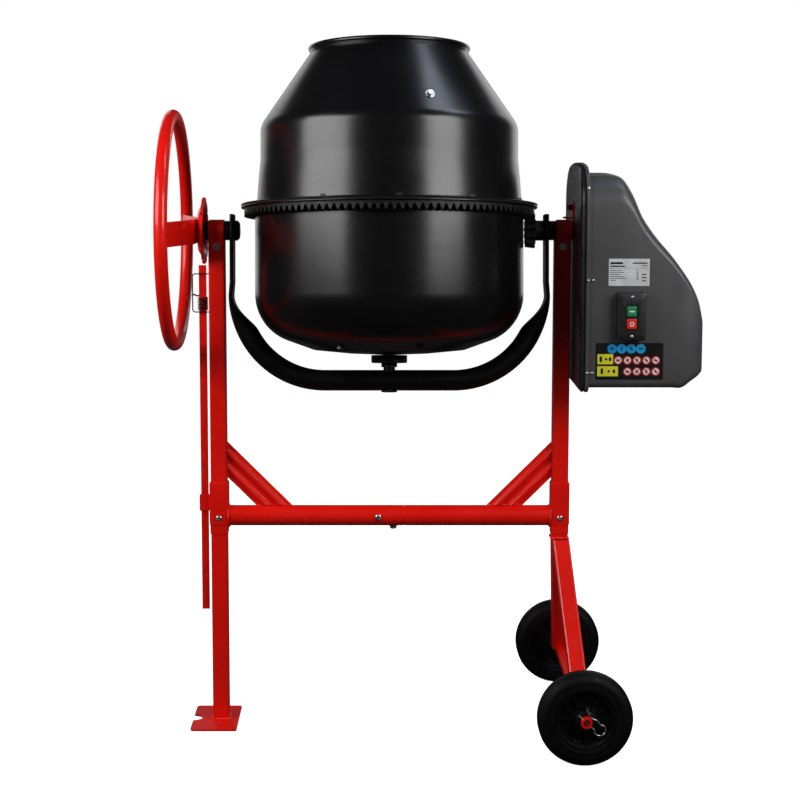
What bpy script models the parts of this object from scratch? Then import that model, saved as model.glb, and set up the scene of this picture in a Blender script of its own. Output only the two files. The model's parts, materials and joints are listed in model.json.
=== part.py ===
"""A 140 litre site concrete mixer: a tilting drum on a red tubular stand, built as separate pieces.

Metres, +Z up. The origin is on the floor, below the middle of the drum. The tilt axis runs along X.
The handwheel is at -X, the motor housing at +X, and the controls face -Y.
"""

import math

import bmesh
import bpy
from mathutils import Matrix, Vector

# Clearances
FIT = 0.0003
RUNNING_FIT = 0.0006

# Tilt axis and drum attitude
PIVOT_Z = 1.077
REST_TILT = math.radians(-5.7)

# Stand
TUBE = 0.035
TUBE_WALL = 0.002
LEFT_X = -0.3685
RIGHT_X = 0.370
SLEEVE = 0.0406
COLLAR = 0.0380
SLEEVE_LOW = 0.441
SLEEVE_HIGH = 0.531
COLLAR_LOW = 0.420
TUBE_JOIN_Z = 0.486
BEARING_TUBE_RADIUS = 0.0235
BEARING_TUBE_LENGTH = 0.033
BEARING_BORE = 0.0186
POST_TOP_DROP = 0.0138
BEAM_Z = 0.458
BEAM_RADIUS = 0.02225
BEAM_WALL = 0.0025
BEAM_SEAM_X = 0.032
BRACE_WIDTH = 0.056
BRACE_SHEET = 0.0025
BRACE_RIB = 0.006
BRACE_REACH = 0.122
FOOT_X = (-0.430, -0.330)
FOOT_DEPTH = 0.160
FOOT_CORNER = 0.009
FOOT_CHAMFER = 0.003
FOOT_NOTCH = 0.019
FOOT_THICKNESS = 0.005
STUB_LOW = 0.4103

# Wheels
WHEEL_RADIUS = 0.0975
WHEEL_Y = 0.276
TYRE_WIDTH = 0.048
RIM_RADIUS = 0.060
AXLE_X = 0.398
AXLE_RADIUS = 0.0115
AXLE_BORE = 0.0070
AXLE_HALF_LENGTH = 0.312
CLIP_Y = 0.3055
LEG_FOOT_Y = 0.222

# Yoke, trunnions and handwheel
YOKE_PIPE = 0.0222
YOKE_BOTTOM = -0.320
YOKE_BEND_RADIUS = 0.182
YOKE_BEND_X = 0.138
ARM_X = 0.335
ARM_HALF_THICK = 0.005
ARM_HALF_WIDTH = 0.0285
ARM_TOP = 0.034
JOURNAL_RADIUS = 0.0180
SHOULDER_RADIUS = 0.0208
STUD_RADIUS = 0.0100
DISC_RADIUS = 0.071
DISC_NOTCHES = 12
DISC_X = (-0.3980, -0.3930)
NOTCH_WIDTH = 0.0095
NOTCH_DEPTH = 0.008
HANDWHEEL_X = -0.459
HANDWHEEL_RADIUS = 0.243
HANDWHEEL_TUBE = 0.014
SPOKE_HEIGHT = 0.052
SPOKE_SHEET = 0.004
HUB_X = -0.411

# Drum, in the yoke's own frame with its origin on the tilt axis
DRUM_WALL = 0.003
LOWER_RADIUS = 0.286
UPPER_RADIUS = 0.282
CONE_BASE_RADIUS = 0.2745
CONE_BASE_Z = 0.223
MOUTH_RADIUS = 0.167
MOUTH_Z = 0.384
FLANGE_RADIUS = 0.316
FLANGE_Z = 0.0465
SEAL_THICKNESS = 0.0015
DRUM_BOTTOM_Z = -0.266
HUB_RADIUS = 0.0385
SPINDLE_RADIUS = 0.0125
SPINDLE_HEAD_RADIUS = 0.0170
SPINDLE_HEAD_THICKNESS = 0.003
BEARING_RADIUS = 0.030
BLADE_BEARING = -71
DRUM_STEPS = 40

# Gear train: the tooth flanks of both gears run to one apex, where the two axes cross
RING_TEETH = 120
PINION_TEETH = 13
RING_PITCH_RADIUS = 0.303
RING_INNER = 0.2875
RING_OUTER = 0.309
PINION_PITCH_RADIUS = RING_PITCH_RADIUS * PINION_TEETH / RING_TEETH
MODULE = 2 * RING_PITCH_RADIUS / RING_TEETH
PRESSURE_ANGLE = math.radians(25)
TOOTH_FILL = 0.82
PINION_X = (0.2900, 0.3105)
SHAFT_RADIUS = 0.0090
SHAFT_END_X = 0.436

# Drive
PULLEY_X = (0.4130, 0.4290)
BIG_PULLEY = 0.108
SMALL_PULLEY = 0.0135
BELT_THICKNESS = 0.0035
BELT_WIDTH = 0.013
MOTOR_Z = 0.870
MOTOR_RADIUS = 0.060
MOTOR_X = (0.442, 0.572)
MOTOR_SHAFT = 0.0065

# Housing
BACK_X = 0.392
BACK_EDGE_X = 0.4025
COVER_EDGE_X = 0.4040
COVER_BODY_X = 0.4130
HOUSING_WALL = 0.003
HOUSING_LOW = 0.758
HOUSING_HIGH = 1.194
FLANGE_HIGH = 1.204
HOUSING_HALF_DEPTH = 0.150
FLANGE_RIM = 0.010
SWITCH_X = (0.467, 0.526)
SWITCH_Z = (0.860, 0.958)
SWITCH_DEPTH = 0.022
BUTTON_X = 0.496
START_Z = 0.9205
STOP_Z = 0.8945
BUTTON_SIZE = (0.020, 0.008, 0.021)
BUTTON_TRAVEL = 0.003

# Locking bar and its spring
BAR_X = -0.400
BAR_WIDTH = 0.016
BAR_THICK = 0.006
BAR_LOW = 0.250
BAR_HIGH = 1.003
GUIDE_Z = (0.469, 0.504)
KEEPER_Z = (0.903, 0.985)
KEEPER_X = -0.421
KEEPER_Y = -0.0085
KEEPER_WIRE = 0.0013
SPRING_Z = (0.9062, 0.9345)
SPRING_RADIUS = 0.0104
SPRING_WIRE = 0.0011
SPRING_TURNS = 6
SPRING_STEPS = 8
PIN_Z = 0.9375
PIN_RADIUS = 0.0017

for old in list(bpy.data.objects):
    bpy.data.objects.remove(old, do_unlink=True)

PARTS = bpy.data.collections.new("concrete_mixer")
CUTTERS = bpy.data.collections.new("cutters")
bpy.context.scene.collection.children.link(PARTS)
bpy.context.scene.collection.children.link(CUTTERS)


# Materials


def material(name, colour, roughness, metallic=0.0):
    made = bpy.data.materials.new(name)
    made.use_nodes = True
    shader = made.node_tree.nodes["Principled BSDF"]
    shader.inputs["Base Color"].default_value = (*colour, 1.0)
    shader.inputs["Roughness"].default_value = roughness
    shader.inputs["Metallic"].default_value = metallic
    return made


RED = material("red_paint", (0.62, 0.015, 0.012), 0.30)
DRUM_BLACK = material("drum_enamel", (0.012, 0.012, 0.014), 0.25)
SATIN_BLACK = material("satin_black_paint", (0.018, 0.018, 0.020), 0.45)
CAST_IRON = material("cast_iron", (0.030, 0.030, 0.032), 0.55, 0.3)
STEEL = material("machined_steel", (0.42, 0.42, 0.43), 0.35, 1.0)
ZINC = material("zinc_plate", (0.62, 0.62, 0.60), 0.30, 1.0)
SPRING_STEEL = material("spring_steel", (0.10, 0.09, 0.08), 0.40, 1.0)
CASING = material("charcoal_plastic", (0.055, 0.056, 0.060), 0.45)
SWITCH_BLACK = material("switch_plastic", (0.015, 0.015, 0.016), 0.40)
TYRE = material("tyre_rubber", (0.016, 0.016, 0.017), 0.75)
RIM = material("rim_plastic", (0.022, 0.022, 0.024), 0.50)
BELT = material("belt_rubber", (0.020, 0.020, 0.020), 0.70)
SEAL = material("seal_rubber", (0.030, 0.030, 0.030), 0.80)
MOTOR_PAINT = material("motor_paint", (0.10, 0.11, 0.12), 0.45, 0.4)
GREEN = material("start_green", (0.02, 0.32, 0.11), 0.35)
STOP_RED = material("stop_red", (0.75, 0.03, 0.02), 0.35)


# Shape helpers


def place(item, finish=None, parent=None, smooth=None):
    """Links a part to its collection, with its material, its parent and smooth faces below an angle."""
    PARTS.objects.link(item)
    item.parent = parent
    if finish is not None:
        item.data.materials.append(finish)
    if smooth is not None:
        item.data.shade_smooth()
        item.data.set_sharp_from_angle(angle=math.radians(smooth))
    return item


def as_tool(item, parent=None):
    """Keeps a shape out of the object: it only cuts or joins."""
    for owner in list(item.users_collection):
        owner.objects.unlink(item)
    CUTTERS.objects.link(item)
    item.parent = parent
    item.hide_render = True
    item.display_type = "WIRE"
    return item


def combine(item, tool, operation="DIFFERENCE"):
    step = item.modifiers.new(operation.lower(), "BOOLEAN")
    step.operation = operation
    step.solver = "EXACT"
    step.object = tool
    return step


def bevel(item, width, segments=2, angle=35):
    step = item.modifiers.new("edges", "BEVEL")
    step.width = width
    step.segments = segments
    step.limit_method = "ANGLE"
    step.angle_limit = math.radians(angle)
    return step


def object_from(cage, name):
    mesh = bpy.data.meshes.new(name)
    cage.to_mesh(mesh)
    cage.free()
    return bpy.data.objects.new(name, mesh)


def block(name, low, high):
    """A box between two corners."""
    low, high = Vector(low), Vector(high)
    cage = bmesh.new()
    bmesh.ops.create_cube(cage, size=1)
    bmesh.ops.scale(cage, vec=high - low, verts=cage.verts)
    bmesh.ops.translate(cage, vec=(low + high) / 2, verts=cage.verts)
    return object_from(cage, name)


def turn_to(axis):
    """The rotation that carries +Z to a named axis."""
    turns = {
        "X": Matrix.Rotation(math.pi / 2, 4, "Y"),
        "Y": Matrix.Rotation(-math.pi / 2, 4, "X"),
        "Z": Matrix.Identity(4),
    }
    return turns[axis]


def rod(name, radius, start, length, axis="Z", sides=24):
    """A cylinder from a start point along an axis."""
    cage = bmesh.new()
    bmesh.ops.create_cone(
        cage, cap_ends=True, segments=sides, radius1=radius, radius2=radius, depth=length
    )
    bmesh.ops.translate(cage, vec=(0, 0, length / 2), verts=cage.verts)
    bmesh.ops.transform(cage, matrix=Matrix.Translation(start) @ turn_to(axis), verts=cage.verts)
    return object_from(cage, name)


def turned(name, profile, axis="Z", centre=(0, 0, 0), steps=24):
    """Sweeps (radius, height) points about an axis. A profile that never meets the axis is closed."""
    mesh = bpy.data.meshes.new(name)
    hollow = min(radius for radius, _ in profile) > 0
    count = len(profile)
    edges = [(i, (i + 1) % count) for i in range(count if hollow else count - 1)]
    mesh.from_pydata([(radius, 0, height) for radius, height in profile], edges, [])
    item = bpy.data.objects.new(name, mesh)
    sweep = item.modifiers.new("sweep", "SCREW")
    sweep.steps = steps
    sweep.render_steps = steps
    sweep.use_merge_vertices = True
    sweep.merge_threshold = 0.00001
    sweep.use_smooth_shade = True
    item.matrix_world = Matrix.Translation(centre) @ turn_to(axis)
    return item


def settle(item):
    """Applies an object's modifiers, so that its mesh can be joined, cut or shared."""
    if item.name not in bpy.context.scene.objects:
        bpy.context.scene.collection.objects.link(item)
    bpy.context.view_layer.update()
    seen = item.evaluated_get(bpy.context.evaluated_depsgraph_get())
    mesh = bpy.data.meshes.new_from_object(seen)
    cage = bmesh.new()
    cage.from_mesh(mesh)
    bmesh.ops.remove_doubles(cage, verts=cage.verts, dist=0.00001)
    cage.transform(item.matrix_world)
    name = item.name
    bpy.data.objects.remove(item, do_unlink=True)
    return object_from(cage, name)


def flat(name, outlines, low, high, plane="XY"):
    """Closed outlines, holes included, filled and given thickness along the third axis."""
    drawing = bpy.data.curves.new(name, "CURVE")
    drawing.dimensions = "2D"
    drawing.fill_mode = "BOTH"
    drawing.extrude = (high - low) / 2
    for outline in outlines:
        line = drawing.splines.new("POLY")
        line.points.add(len(outline) - 1)
        for point, (u, v) in zip(line.points, outline):
            point.co = (u, v, 0, 1)
        line.use_cyclic_u = True
    item = bpy.data.objects.new(name, drawing)
    middle = (low + high) / 2
    frames = {
        "XY": Matrix.Translation((0, 0, middle)),
        "YZ": Matrix(((0, 0, 1, middle), (1, 0, 0, 0), (0, 1, 0, 0), (0, 0, 0, 1))),
        "XZ": Matrix(((1, 0, 0, 0), (0, 0, -1, middle), (0, 1, 0, 0), (0, 0, 0, 1))),
    }
    item.matrix_world = frames[plane]
    return settle(item)


def wire(name, points, radius, resolution=2):
    """A round bar or wire through points, with closed ends."""
    path = bpy.data.curves.new(name, "CURVE")
    path.dimensions = "3D"
    path.bevel_depth = radius
    path.bevel_resolution = resolution
    path.use_fill_caps = True
    line = path.splines.new("POLY")
    line.points.add(len(points) - 1)
    for point, place_at in zip(line.points, points):
        point.co = (*place_at, 1)
    return settle(bpy.data.objects.new(name, path))


def loft(name, rings):
    """Joins rings of equal count into a closed skin, capped at both ends."""
    cage = bmesh.new()
    rows = [[cage.verts.new(point) for point in ring] for ring in rings]
    count = len(rows[0])
    for first, second in zip(rows, rows[1:]):
        for i in range(count):
            j = (i + 1) % count
            cage.faces.new((first[i], first[j], second[j], second[i]))
    cage.faces.new(list(reversed(rows[0])))
    cage.faces.new(rows[-1])
    bmesh.ops.recalc_face_normals(cage, faces=cage.faces)
    return object_from(cage, name)


def arc(centre, radius, start, end, steps):
    """Points on an arc, angles in degrees."""
    points = []
    for i in range(steps + 1):
        angle = math.radians(start + (end - start) * i / steps)
        points.append((centre[0] + radius * math.cos(angle), centre[1] + radius * math.sin(angle)))
    return points


def rounded_square(size, radius, centre=(0, 0), steps=2):
    reach = size / 2 - radius
    points = []
    for corner, (sx, sy) in enumerate(((1, 1), (-1, 1), (-1, -1), (1, -1))):
        middle = (centre[0] + sx * reach, centre[1] + sy * reach)
        points += arc(middle, radius, corner * 90, corner * 90 + 90, steps)
    return points


def square_tube(name, size, wall, low, high, centre=(0, 0)):
    """An upright square tube, open at both ends."""
    outer = rounded_square(size, 0.0035, centre)
    inner = rounded_square(size - 2 * wall, 0.0015, centre)
    return flat(name, [outer, inner], low, high)


def pipe(name, radius, wall, start, length, axis, sides=24):
    """A round tube, open at both ends."""
    profile = [(radius, length), (radius, 0), (radius - wall, 0), (radius - wall, length)]
    return turned(name, profile, axis, start, sides)


TILT_AXIS = bpy.data.objects.new("tilt_axis", None)
TILT_AXIS.location = (0, 0, PIVOT_Z)
TILT_AXIS.rotation_euler = (REST_TILT, 0, 0)
PARTS.objects.link(TILT_AXIS)


# Stand


def upright(name, x, top_cut):
    """A post whose top is cut to sit under its bearing tube."""
    post = square_tube(name, TUBE, TUBE_WALL, TUBE_JOIN_Z + FIT, PIVOT_Z - POST_TOP_DROP, (x, 0))
    place(post, RED)
    saddle = rod(top_cut, BEARING_TUBE_RADIUS + FIT, (x - 0.03, 0, PIVOT_Z), 0.06, "X", 32)
    combine(post, as_tool(saddle))


def socket(name, x):
    """A sleeve that holds the post from above and the leg from below, with a narrower collar under it."""
    sleeve = square_tube(name, SLEEVE, (SLEEVE - TUBE) / 2 - FIT, SLEEVE_LOW, SLEEVE_HIGH, (x, 0))
    place(sleeve, RED)
    collar_wall = (COLLAR - TUBE) / 2 - FIT
    collar = square_tube(name + "_collar", COLLAR, collar_wall, COLLAR_LOW, SLEEVE_LOW + 0.004, (x, 0))
    combine(sleeve, as_tool(collar), "UNION")


def beam_half(name, start, end):
    place(pipe(name, BEAM_RADIUS, BEAM_WALL, (start, 0, BEAM_Z), end - start, "X"), RED)


def brace(name, side, post_face):
    """Ribbed pressed strip from the post's inner face down to the beam, cut square to each."""
    half = BRACE_WIDTH / 2
    upper = [(-half, 0), (-0.019, 0), (-0.015, BRACE_RIB), (-0.009, BRACE_RIB), (-0.005, 0)]
    upper += [(-u, v) for u, v in reversed(upper)]
    lower = [(u, v - BRACE_SHEET) for u, v in reversed(upper)]
    strip = flat(name, [upper + lower], -0.15, 0.15)
    middle = (post_face - side * BRACE_REACH / 2.4, 0, BEAM_Z + BEAM_RADIUS + BRACE_REACH / 2.4)
    lean = Matrix.Rotation(side * math.radians(45), 4, "Y")
    face_front = Matrix.Rotation(math.pi, 4, "Z")
    strip.data.transform(Matrix.Translation(middle) @ lean @ face_front)
    place(strip, RED)
    far = side * 0.3
    beyond = (min(post_face, post_face + far), max(post_face, post_face + far))
    clear = FIT if side > 0 else -FIT
    walls = block(name + "_post_cut", (beyond[0] - clear, -0.1, 0.3), (beyond[1] - clear, 0.1, 0.9))
    floor = block(name + "_beam_cut", (-0.6, -0.1, 0.3), (0.6, 0.1, BEAM_Z + BEAM_RADIUS + FIT))
    combine(strip, as_tool(walls))
    combine(strip, as_tool(floor))


def foot():
    """The rest plate, with a round notch in the middle of its outer edge."""
    low_x, high_x = FOOT_X
    half = FOOT_DEPTH / 2
    outline = [(high_x, -half + FOOT_CHAMFER), (high_x, half - FOOT_CHAMFER), (high_x - FOOT_CHAMFER, half)]
    outline += arc((low_x + FOOT_CORNER, half - FOOT_CORNER), FOOT_CORNER, 90, 180, 3)
    outline.append((low_x, FOOT_NOTCH + 0.002))
    outline += arc((low_x + 0.001, 0), FOOT_NOTCH, 84, -84, 8)
    outline.append((low_x, -FOOT_NOTCH - 0.002))
    outline += arc((low_x + FOOT_CORNER, -half + FOOT_CORNER), FOOT_CORNER, 180, 270, 3)
    outline.append((high_x - FOOT_CHAMFER, -half))
    hole = arc((LEFT_X, -0.050), 0.005, 0, 330, 11)
    place(flat("foot_plate", [outline, hole], 0, FOOT_THICKNESS), RED)


def wheel_leg(name, side):
    """A square tube that splays from the stub to the axle and is saddled over it."""
    top = Vector((RIGHT_X, 0, 0.430))
    bottom = Vector((AXLE_X, side * LEG_FOOT_Y, WHEEL_RADIUS))
    run = (bottom - top).normalized()
    across = Vector((0, 1, 0)).cross(run).normalized()
    leg = square_tube(name, TUBE, TUBE_WALL, -0.06, (bottom - top).length + 0.06)
    frame = Matrix((across, run.cross(across), run)).transposed().to_4x4()
    frame.translation = top
    leg.data.transform(frame)
    place(leg, RED)
    other = (-0.3, FIT) if side > 0 else (-FIT, 0.3)
    combine(leg, as_tool(block(name + "_mitre", (0.2, other[0], 0.0), (0.6, other[1], 0.6))))
    combine(leg, as_tool(block(name + "_top", (0.2, -0.3, STUB_LOW - FIT), (0.6, 0.3, 0.7))))
    combine(leg, as_tool(block(name + "_bottom", (0.2, -0.4, -0.1), (0.6, 0.4, WHEEL_RADIUS))))
    saddle = rod(name + "_saddle", AXLE_RADIUS + FIT, (AXLE_X, -0.35, WHEEL_RADIUS), 0.70, "Y")
    combine(leg, as_tool(saddle))


def make_stand():
    left_face = LEFT_X + SLEEVE / 2
    right_face = RIGHT_X - SLEEVE / 2
    upright("left_post", LEFT_X, "left_saddle")
    upright("right_post", RIGHT_X, "right_saddle")
    socket("left_socket", LEFT_X)
    socket("right_socket", RIGHT_X)
    beam_half("left_beam", left_face + FIT, BEAM_SEAM_X)
    beam_half("right_beam", BEAM_SEAM_X + FIT, right_face - FIT)
    coupler_radius = BEAM_RADIUS - BEAM_WALL - FIT
    coupler = pipe("beam_coupler", coupler_radius, BEAM_WALL, (-0.060, 0, BEAM_Z), 0.150, "X", 24)
    place(coupler, RED)
    brace("left_brace", -1, LEFT_X + TUBE / 2)
    brace("right_brace", 1, RIGHT_X - TUBE / 2)
    leg_low = FOOT_THICKNESS + FIT
    place(square_tube("foot_leg", TUBE, TUBE_WALL, leg_low, TUBE_JOIN_Z, (LEFT_X, 0)), RED)
    foot()
    place(square_tube("wheel_stub", TUBE, TUBE_WALL, STUB_LOW, TUBE_JOIN_Z, (RIGHT_X, 0)), RED)
    wheel_leg("front_wheel_leg", -1)
    wheel_leg("back_wheel_leg", 1)
    for name, x in (("left_bearing_tube", LEFT_X), ("right_bearing_tube", RIGHT_X + 0.0025)):
        start = (x - BEARING_TUBE_LENGTH / 2, 0, PIVOT_Z)
        wall = BEARING_TUBE_RADIUS - BEARING_BORE
        place(pipe(name, BEARING_TUBE_RADIUS, wall, start, BEARING_TUBE_LENGTH, "X"), RED)


# Wheels


def tyre_profile():
    """Half round shoulders and a flat tread, top to bottom on the outside, then back up the bead."""
    half = TYRE_WIDTH / 2
    shoulder = 0.014
    points = [(RIM_RADIUS + 0.002, half - 0.004)]
    points += [(r, h) for h, r in arc((half - shoulder, WHEEL_RADIUS - shoulder), shoulder, 0, 90, 3)]
    points += [(r, -h) for r, h in reversed(points)]
    return points


def rim_profile():
    """A moulded rim with a hub boss and a recessed web."""
    bore = AXLE_RADIUS + RUNNING_FIT
    half = TYRE_WIDTH / 2
    outer = RIM_RADIUS + 0.002 - 2 * FIT
    face = [
        (bore, half + 0.001),
        (0.021, half + 0.001),
        (0.023, 0.006),
        (outer - 0.008, 0.006),
        (outer - 0.005, half - 0.006),
        (outer, half - 0.006),
    ]
    return face + [(r, -h) for r, h in reversed(face)]


def clip_path(y):
    """A hairpin clip: a straight prong through the axle, a wavy one outside it, and a round loop."""
    prong = [(-0.022, 0), (0.014, 0)]
    loop = arc((0.031, 0.0065), 0.0115, 215, 485, 9)
    wave = [(0.012, 0.0175), (0.000, 0.0140), (-0.010, 0.0175), (-0.020, 0.0205)]
    lean = math.radians(-42)
    points = []
    for u, v in prong + loop + wave:
        x = AXLE_X + u * math.cos(lean) - v * math.sin(lean)
        z = WHEEL_RADIUS + u * math.sin(lean) + v * math.cos(lean)
        points.append((x, y, z))
    return points


def make_wheels():
    axle_wall = AXLE_RADIUS - AXLE_BORE
    start = (AXLE_X, -AXLE_HALF_LENGTH, WHEEL_RADIUS)
    axle = pipe("axle", AXLE_RADIUS, axle_wall, start, 2 * AXLE_HALF_LENGTH, "Y", 24)
    place(axle, RED)
    for label, side in (("front", -1), ("back", 1)):
        centre = (AXLE_X, side * WHEEL_Y, WHEEL_RADIUS)
        place(turned(label + "_tyre", tyre_profile(), "Y", centre, 36), TYRE)
        place(turned(label + "_rim", rim_profile(), "Y", centre, 20), RIM)
        y = side * CLIP_Y
        place(wire(label + "_axle_clip", clip_path(y), 0.0014, 1), ZINC, smooth=60)
        hole = wire(label + "_clip_hole", clip_path(y)[:2], 0.0019, 1)
        combine(axle, as_tool(hole))


# Yoke


def superellipse(half_u, half_v, power, count=12):
    points = []
    for i in range(count):
        angle = math.tau * (i + 0.5) / count
        c, s = math.cos(angle), math.sin(angle)
        u = math.copysign(abs(c) ** (2 / power), c) * half_u
        v = math.copysign(abs(s) ** (2 / power), s) * half_v
        points.append((u, v))
    return points


def yoke_stations():
    """Centre, in-plane normal and flatness (1 flat, 0 round) along the left arm, down to the middle."""
    bend = (-YOKE_BEND_X, YOKE_BOTTOM + YOKE_BEND_RADIUS)
    stations = []
    for z in (ARM_TOP, -0.060, -0.110):
        stations.append(((-ARM_X, z), (-1.0, 0.0), 1.0))
    for i in range(9):
        angle = math.radians(180 + 90 * i / 8)
        normal = (math.cos(angle), math.sin(angle))
        flatness = max(0.0, 1.0 - i / 2.5)
        radius = YOKE_BEND_RADIUS + flatness * (YOKE_PIPE - ARM_HALF_THICK)
        centre = (bend[0] + radius * normal[0], bend[1] + radius * normal[1])
        stations.append((centre, normal, flatness))
    return stations


def make_yoke():
    left = yoke_stations()
    right = [((-c[0], c[1]), (-n[0], n[1]), f) for c, n, f in reversed(left)]
    rings = []
    for centre, normal, flatness in left + right:
        thick = YOKE_PIPE + flatness * (ARM_HALF_THICK - YOKE_PIPE)
        wide = YOKE_PIPE + flatness * (ARM_HALF_WIDTH - YOKE_PIPE)
        ring = []
        for u, v in superellipse(thick, wide, 2 + 2.5 * flatness):
            ring.append((centre[0] + u * normal[0], v, centre[1] + u * normal[1]))
        rings.append(ring)
    yoke = place(loft("yoke", rings), SATIN_BLACK, TILT_AXIS, smooth=50)
    for name, x, radius in (
        ("left_arm_hole", -ARM_X - 0.02, STUD_RADIUS + FIT),
        ("right_arm_hole", ARM_X - 0.02, SHAFT_RADIUS + RUNNING_FIT),
    ):
        combine(yoke, as_tool(rod(name, radius, (x, 0, 0), 0.04, "X"), TILT_AXIS))
    hole = rod("spindle_hole", SPINDLE_RADIUS + FIT, (0, 0, YOKE_BOTTOM - 0.04), 0.08)
    combine(yoke, as_tool(hole, TILT_AXIS))


def make_trunnions():
    outer_face = ARM_X + ARM_HALF_THICK + FIT
    inner_face = ARM_X - ARM_HALF_THICK - FIT
    left_tube = -LEFT_X - BEARING_TUBE_LENGTH / 2
    stud_end = inner_face - 0.010
    left = [
        (0, -stud_end),
        (STUD_RADIUS, -stud_end),
        (STUD_RADIUS, -outer_face),
        (SHOULDER_RADIUS, -outer_face),
        (SHOULDER_RADIUS, -left_tube + FIT),
        (JOURNAL_RADIUS, -left_tube + FIT),
        (JOURNAL_RADIUS, -left_tube - BEARING_TUBE_LENGTH - 2 * FIT),
        (SHOULDER_RADIUS, -left_tube - BEARING_TUBE_LENGTH - 2 * FIT),
        (SHOULDER_RADIUS, DISC_X[1] + FIT),
        (0.0160, DISC_X[1] + FIT),
        (0.0160, HUB_X + SPOKE_SHEET / 2 + FIT),
        (0, HUB_X + SPOKE_SHEET / 2 + FIT),
    ]
    place(turned("left_trunnion", left, "X", (0, 0, 0), 24), SATIN_BLACK, TILT_AXIS)
    nut_bore = STUD_RADIUS + FIT
    nut = [(0.0215, -inner_face + 0.0045), (0.0215, -inner_face), (nut_bore, -inner_face)]
    nut += [(nut_bore, -inner_face + 0.011), (0.0150, -inner_face + 0.011), (0.0190, -inner_face + 0.0085)]
    place(turned("trunnion_nut", nut, "X", (0, 0, 0), 24), SATIN_BLACK, TILT_AXIS)
    tube_start = RIGHT_X + 0.0025 - BEARING_TUBE_LENGTH / 2
    tube_end = tube_start + BEARING_TUBE_LENGTH
    bore = SHAFT_RADIUS + RUNNING_FIT
    right = [
        (JOURNAL_RADIUS, tube_end + 0.006),
        (JOURNAL_RADIUS, tube_start - FIT),
        (SHOULDER_RADIUS, tube_start - FIT),
        (SHOULDER_RADIUS, outer_face),
        (bore, outer_face),
        (bore, tube_end + 0.006),
    ]
    place(turned("right_trunnion", right, "X", (0, 0, 0), 24), SATIN_BLACK, TILT_AXIS)


def make_locking_disc():
    """A dished disc with square notches around its rim for the locking bar."""
    bore = 0.0160 + FIT
    near, far = DISC_X[1], DISC_X[0]
    dish = -0.4075
    profile = [
        (DISC_RADIUS, near),
        (DISC_RADIUS, far),
        (0.058, far),
        (0.052, far - 0.005),
        (0.036, dish),
        (bore, dish),
        (bore, dish + 0.004),
        (0.034, dish + 0.004),
        (0.049, near - 0.004),
        (0.056, near),
    ]
    disc = settle(turned("locking_disc", profile, "X", (0, 0, 0), 36))
    place(disc, RED, TILT_AXIS, smooth=35)
    notch_low = (far - 0.004, -NOTCH_WIDTH / 2, DISC_RADIUS - NOTCH_DEPTH)
    notch_high = (near + 0.004, NOTCH_WIDTH / 2, DISC_RADIUS + 0.02)
    for i in range(DISC_NOTCHES):
        cutter = block(f"notch_{i + 1}", notch_low, notch_high)
        cutter.data.transform(Matrix.Rotation(math.tau * i / DISC_NOTCHES - REST_TILT, 4, "X"))
        combine(disc, as_tool(cutter, TILT_AXIS))


def make_handwheel():
    cage_steps, tube_steps = 40, 8
    rim = [
        (HANDWHEEL_RADIUS + r, h)
        for h, r in arc((0, 0), HANDWHEEL_TUBE, 0, 360 - 360 / tube_steps, tube_steps - 1)
    ]
    wheel = turned("handwheel_rim", rim, "X", (HANDWHEEL_X, 0, 0), cage_steps)
    place(wheel, RED, TILT_AXIS)
    reach = HANDWHEEL_RADIUS - HANDWHEEL_TUBE - 0.0022
    half = SPOKE_SHEET / 2
    line = [(HANDWHEEL_X, -reach), (HANDWHEEL_X, -0.175), (HUB_X, -0.050)]
    line += [(x, -y) for x, y in reversed(line)]
    outline = [(x + half, y) for x, y in line] + [(x - half, y) for x, y in reversed(line)]
    spoke = flat("handwheel_spoke", [outline], -SPOKE_HEIGHT / 2, SPOKE_HEIGHT / 2)
    spoke.data.transform(Matrix.Rotation(-REST_TILT, 4, "X"))
    place(spoke, RED, TILT_AXIS)


def make_spindle():
    """The drum's fixed axle, held by a flat head under the yoke."""
    top = DRUM_BOTTOM_Z - FIT - 0.0012
    head_top = YOKE_BOTTOM - YOKE_PIPE - FIT
    head_low = head_top - SPINDLE_HEAD_THICKNESS
    profile = [
        (0, top),
        (SPINDLE_RADIUS, top),
        (SPINDLE_RADIUS, head_top),
        (SPINDLE_HEAD_RADIUS, head_top),
        (SPINDLE_HEAD_RADIUS, head_low),
        (0, head_low),
    ]
    place(turned("drum_spindle", profile, "Z", (0, 0, 0), 24), STEEL, TILT_AXIS)


# Drum


def lower_wall(inset):
    """Outer wall line of the lower drum, moved inward by an inset: straight side, round corner, dish."""
    corner = 0.105
    centre_r = LOWER_RADIUS - corner
    centre_z = -0.136
    radius = corner - inset
    points = [(LOWER_RADIUS - inset, centre_z)]
    points += arc((centre_r, centre_z), radius, -18, -72, 3)
    points += [(0.159, DRUM_BOTTOM_Z + 0.011 + inset), (0, DRUM_BOTTOM_Z + inset)]
    return points


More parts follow.
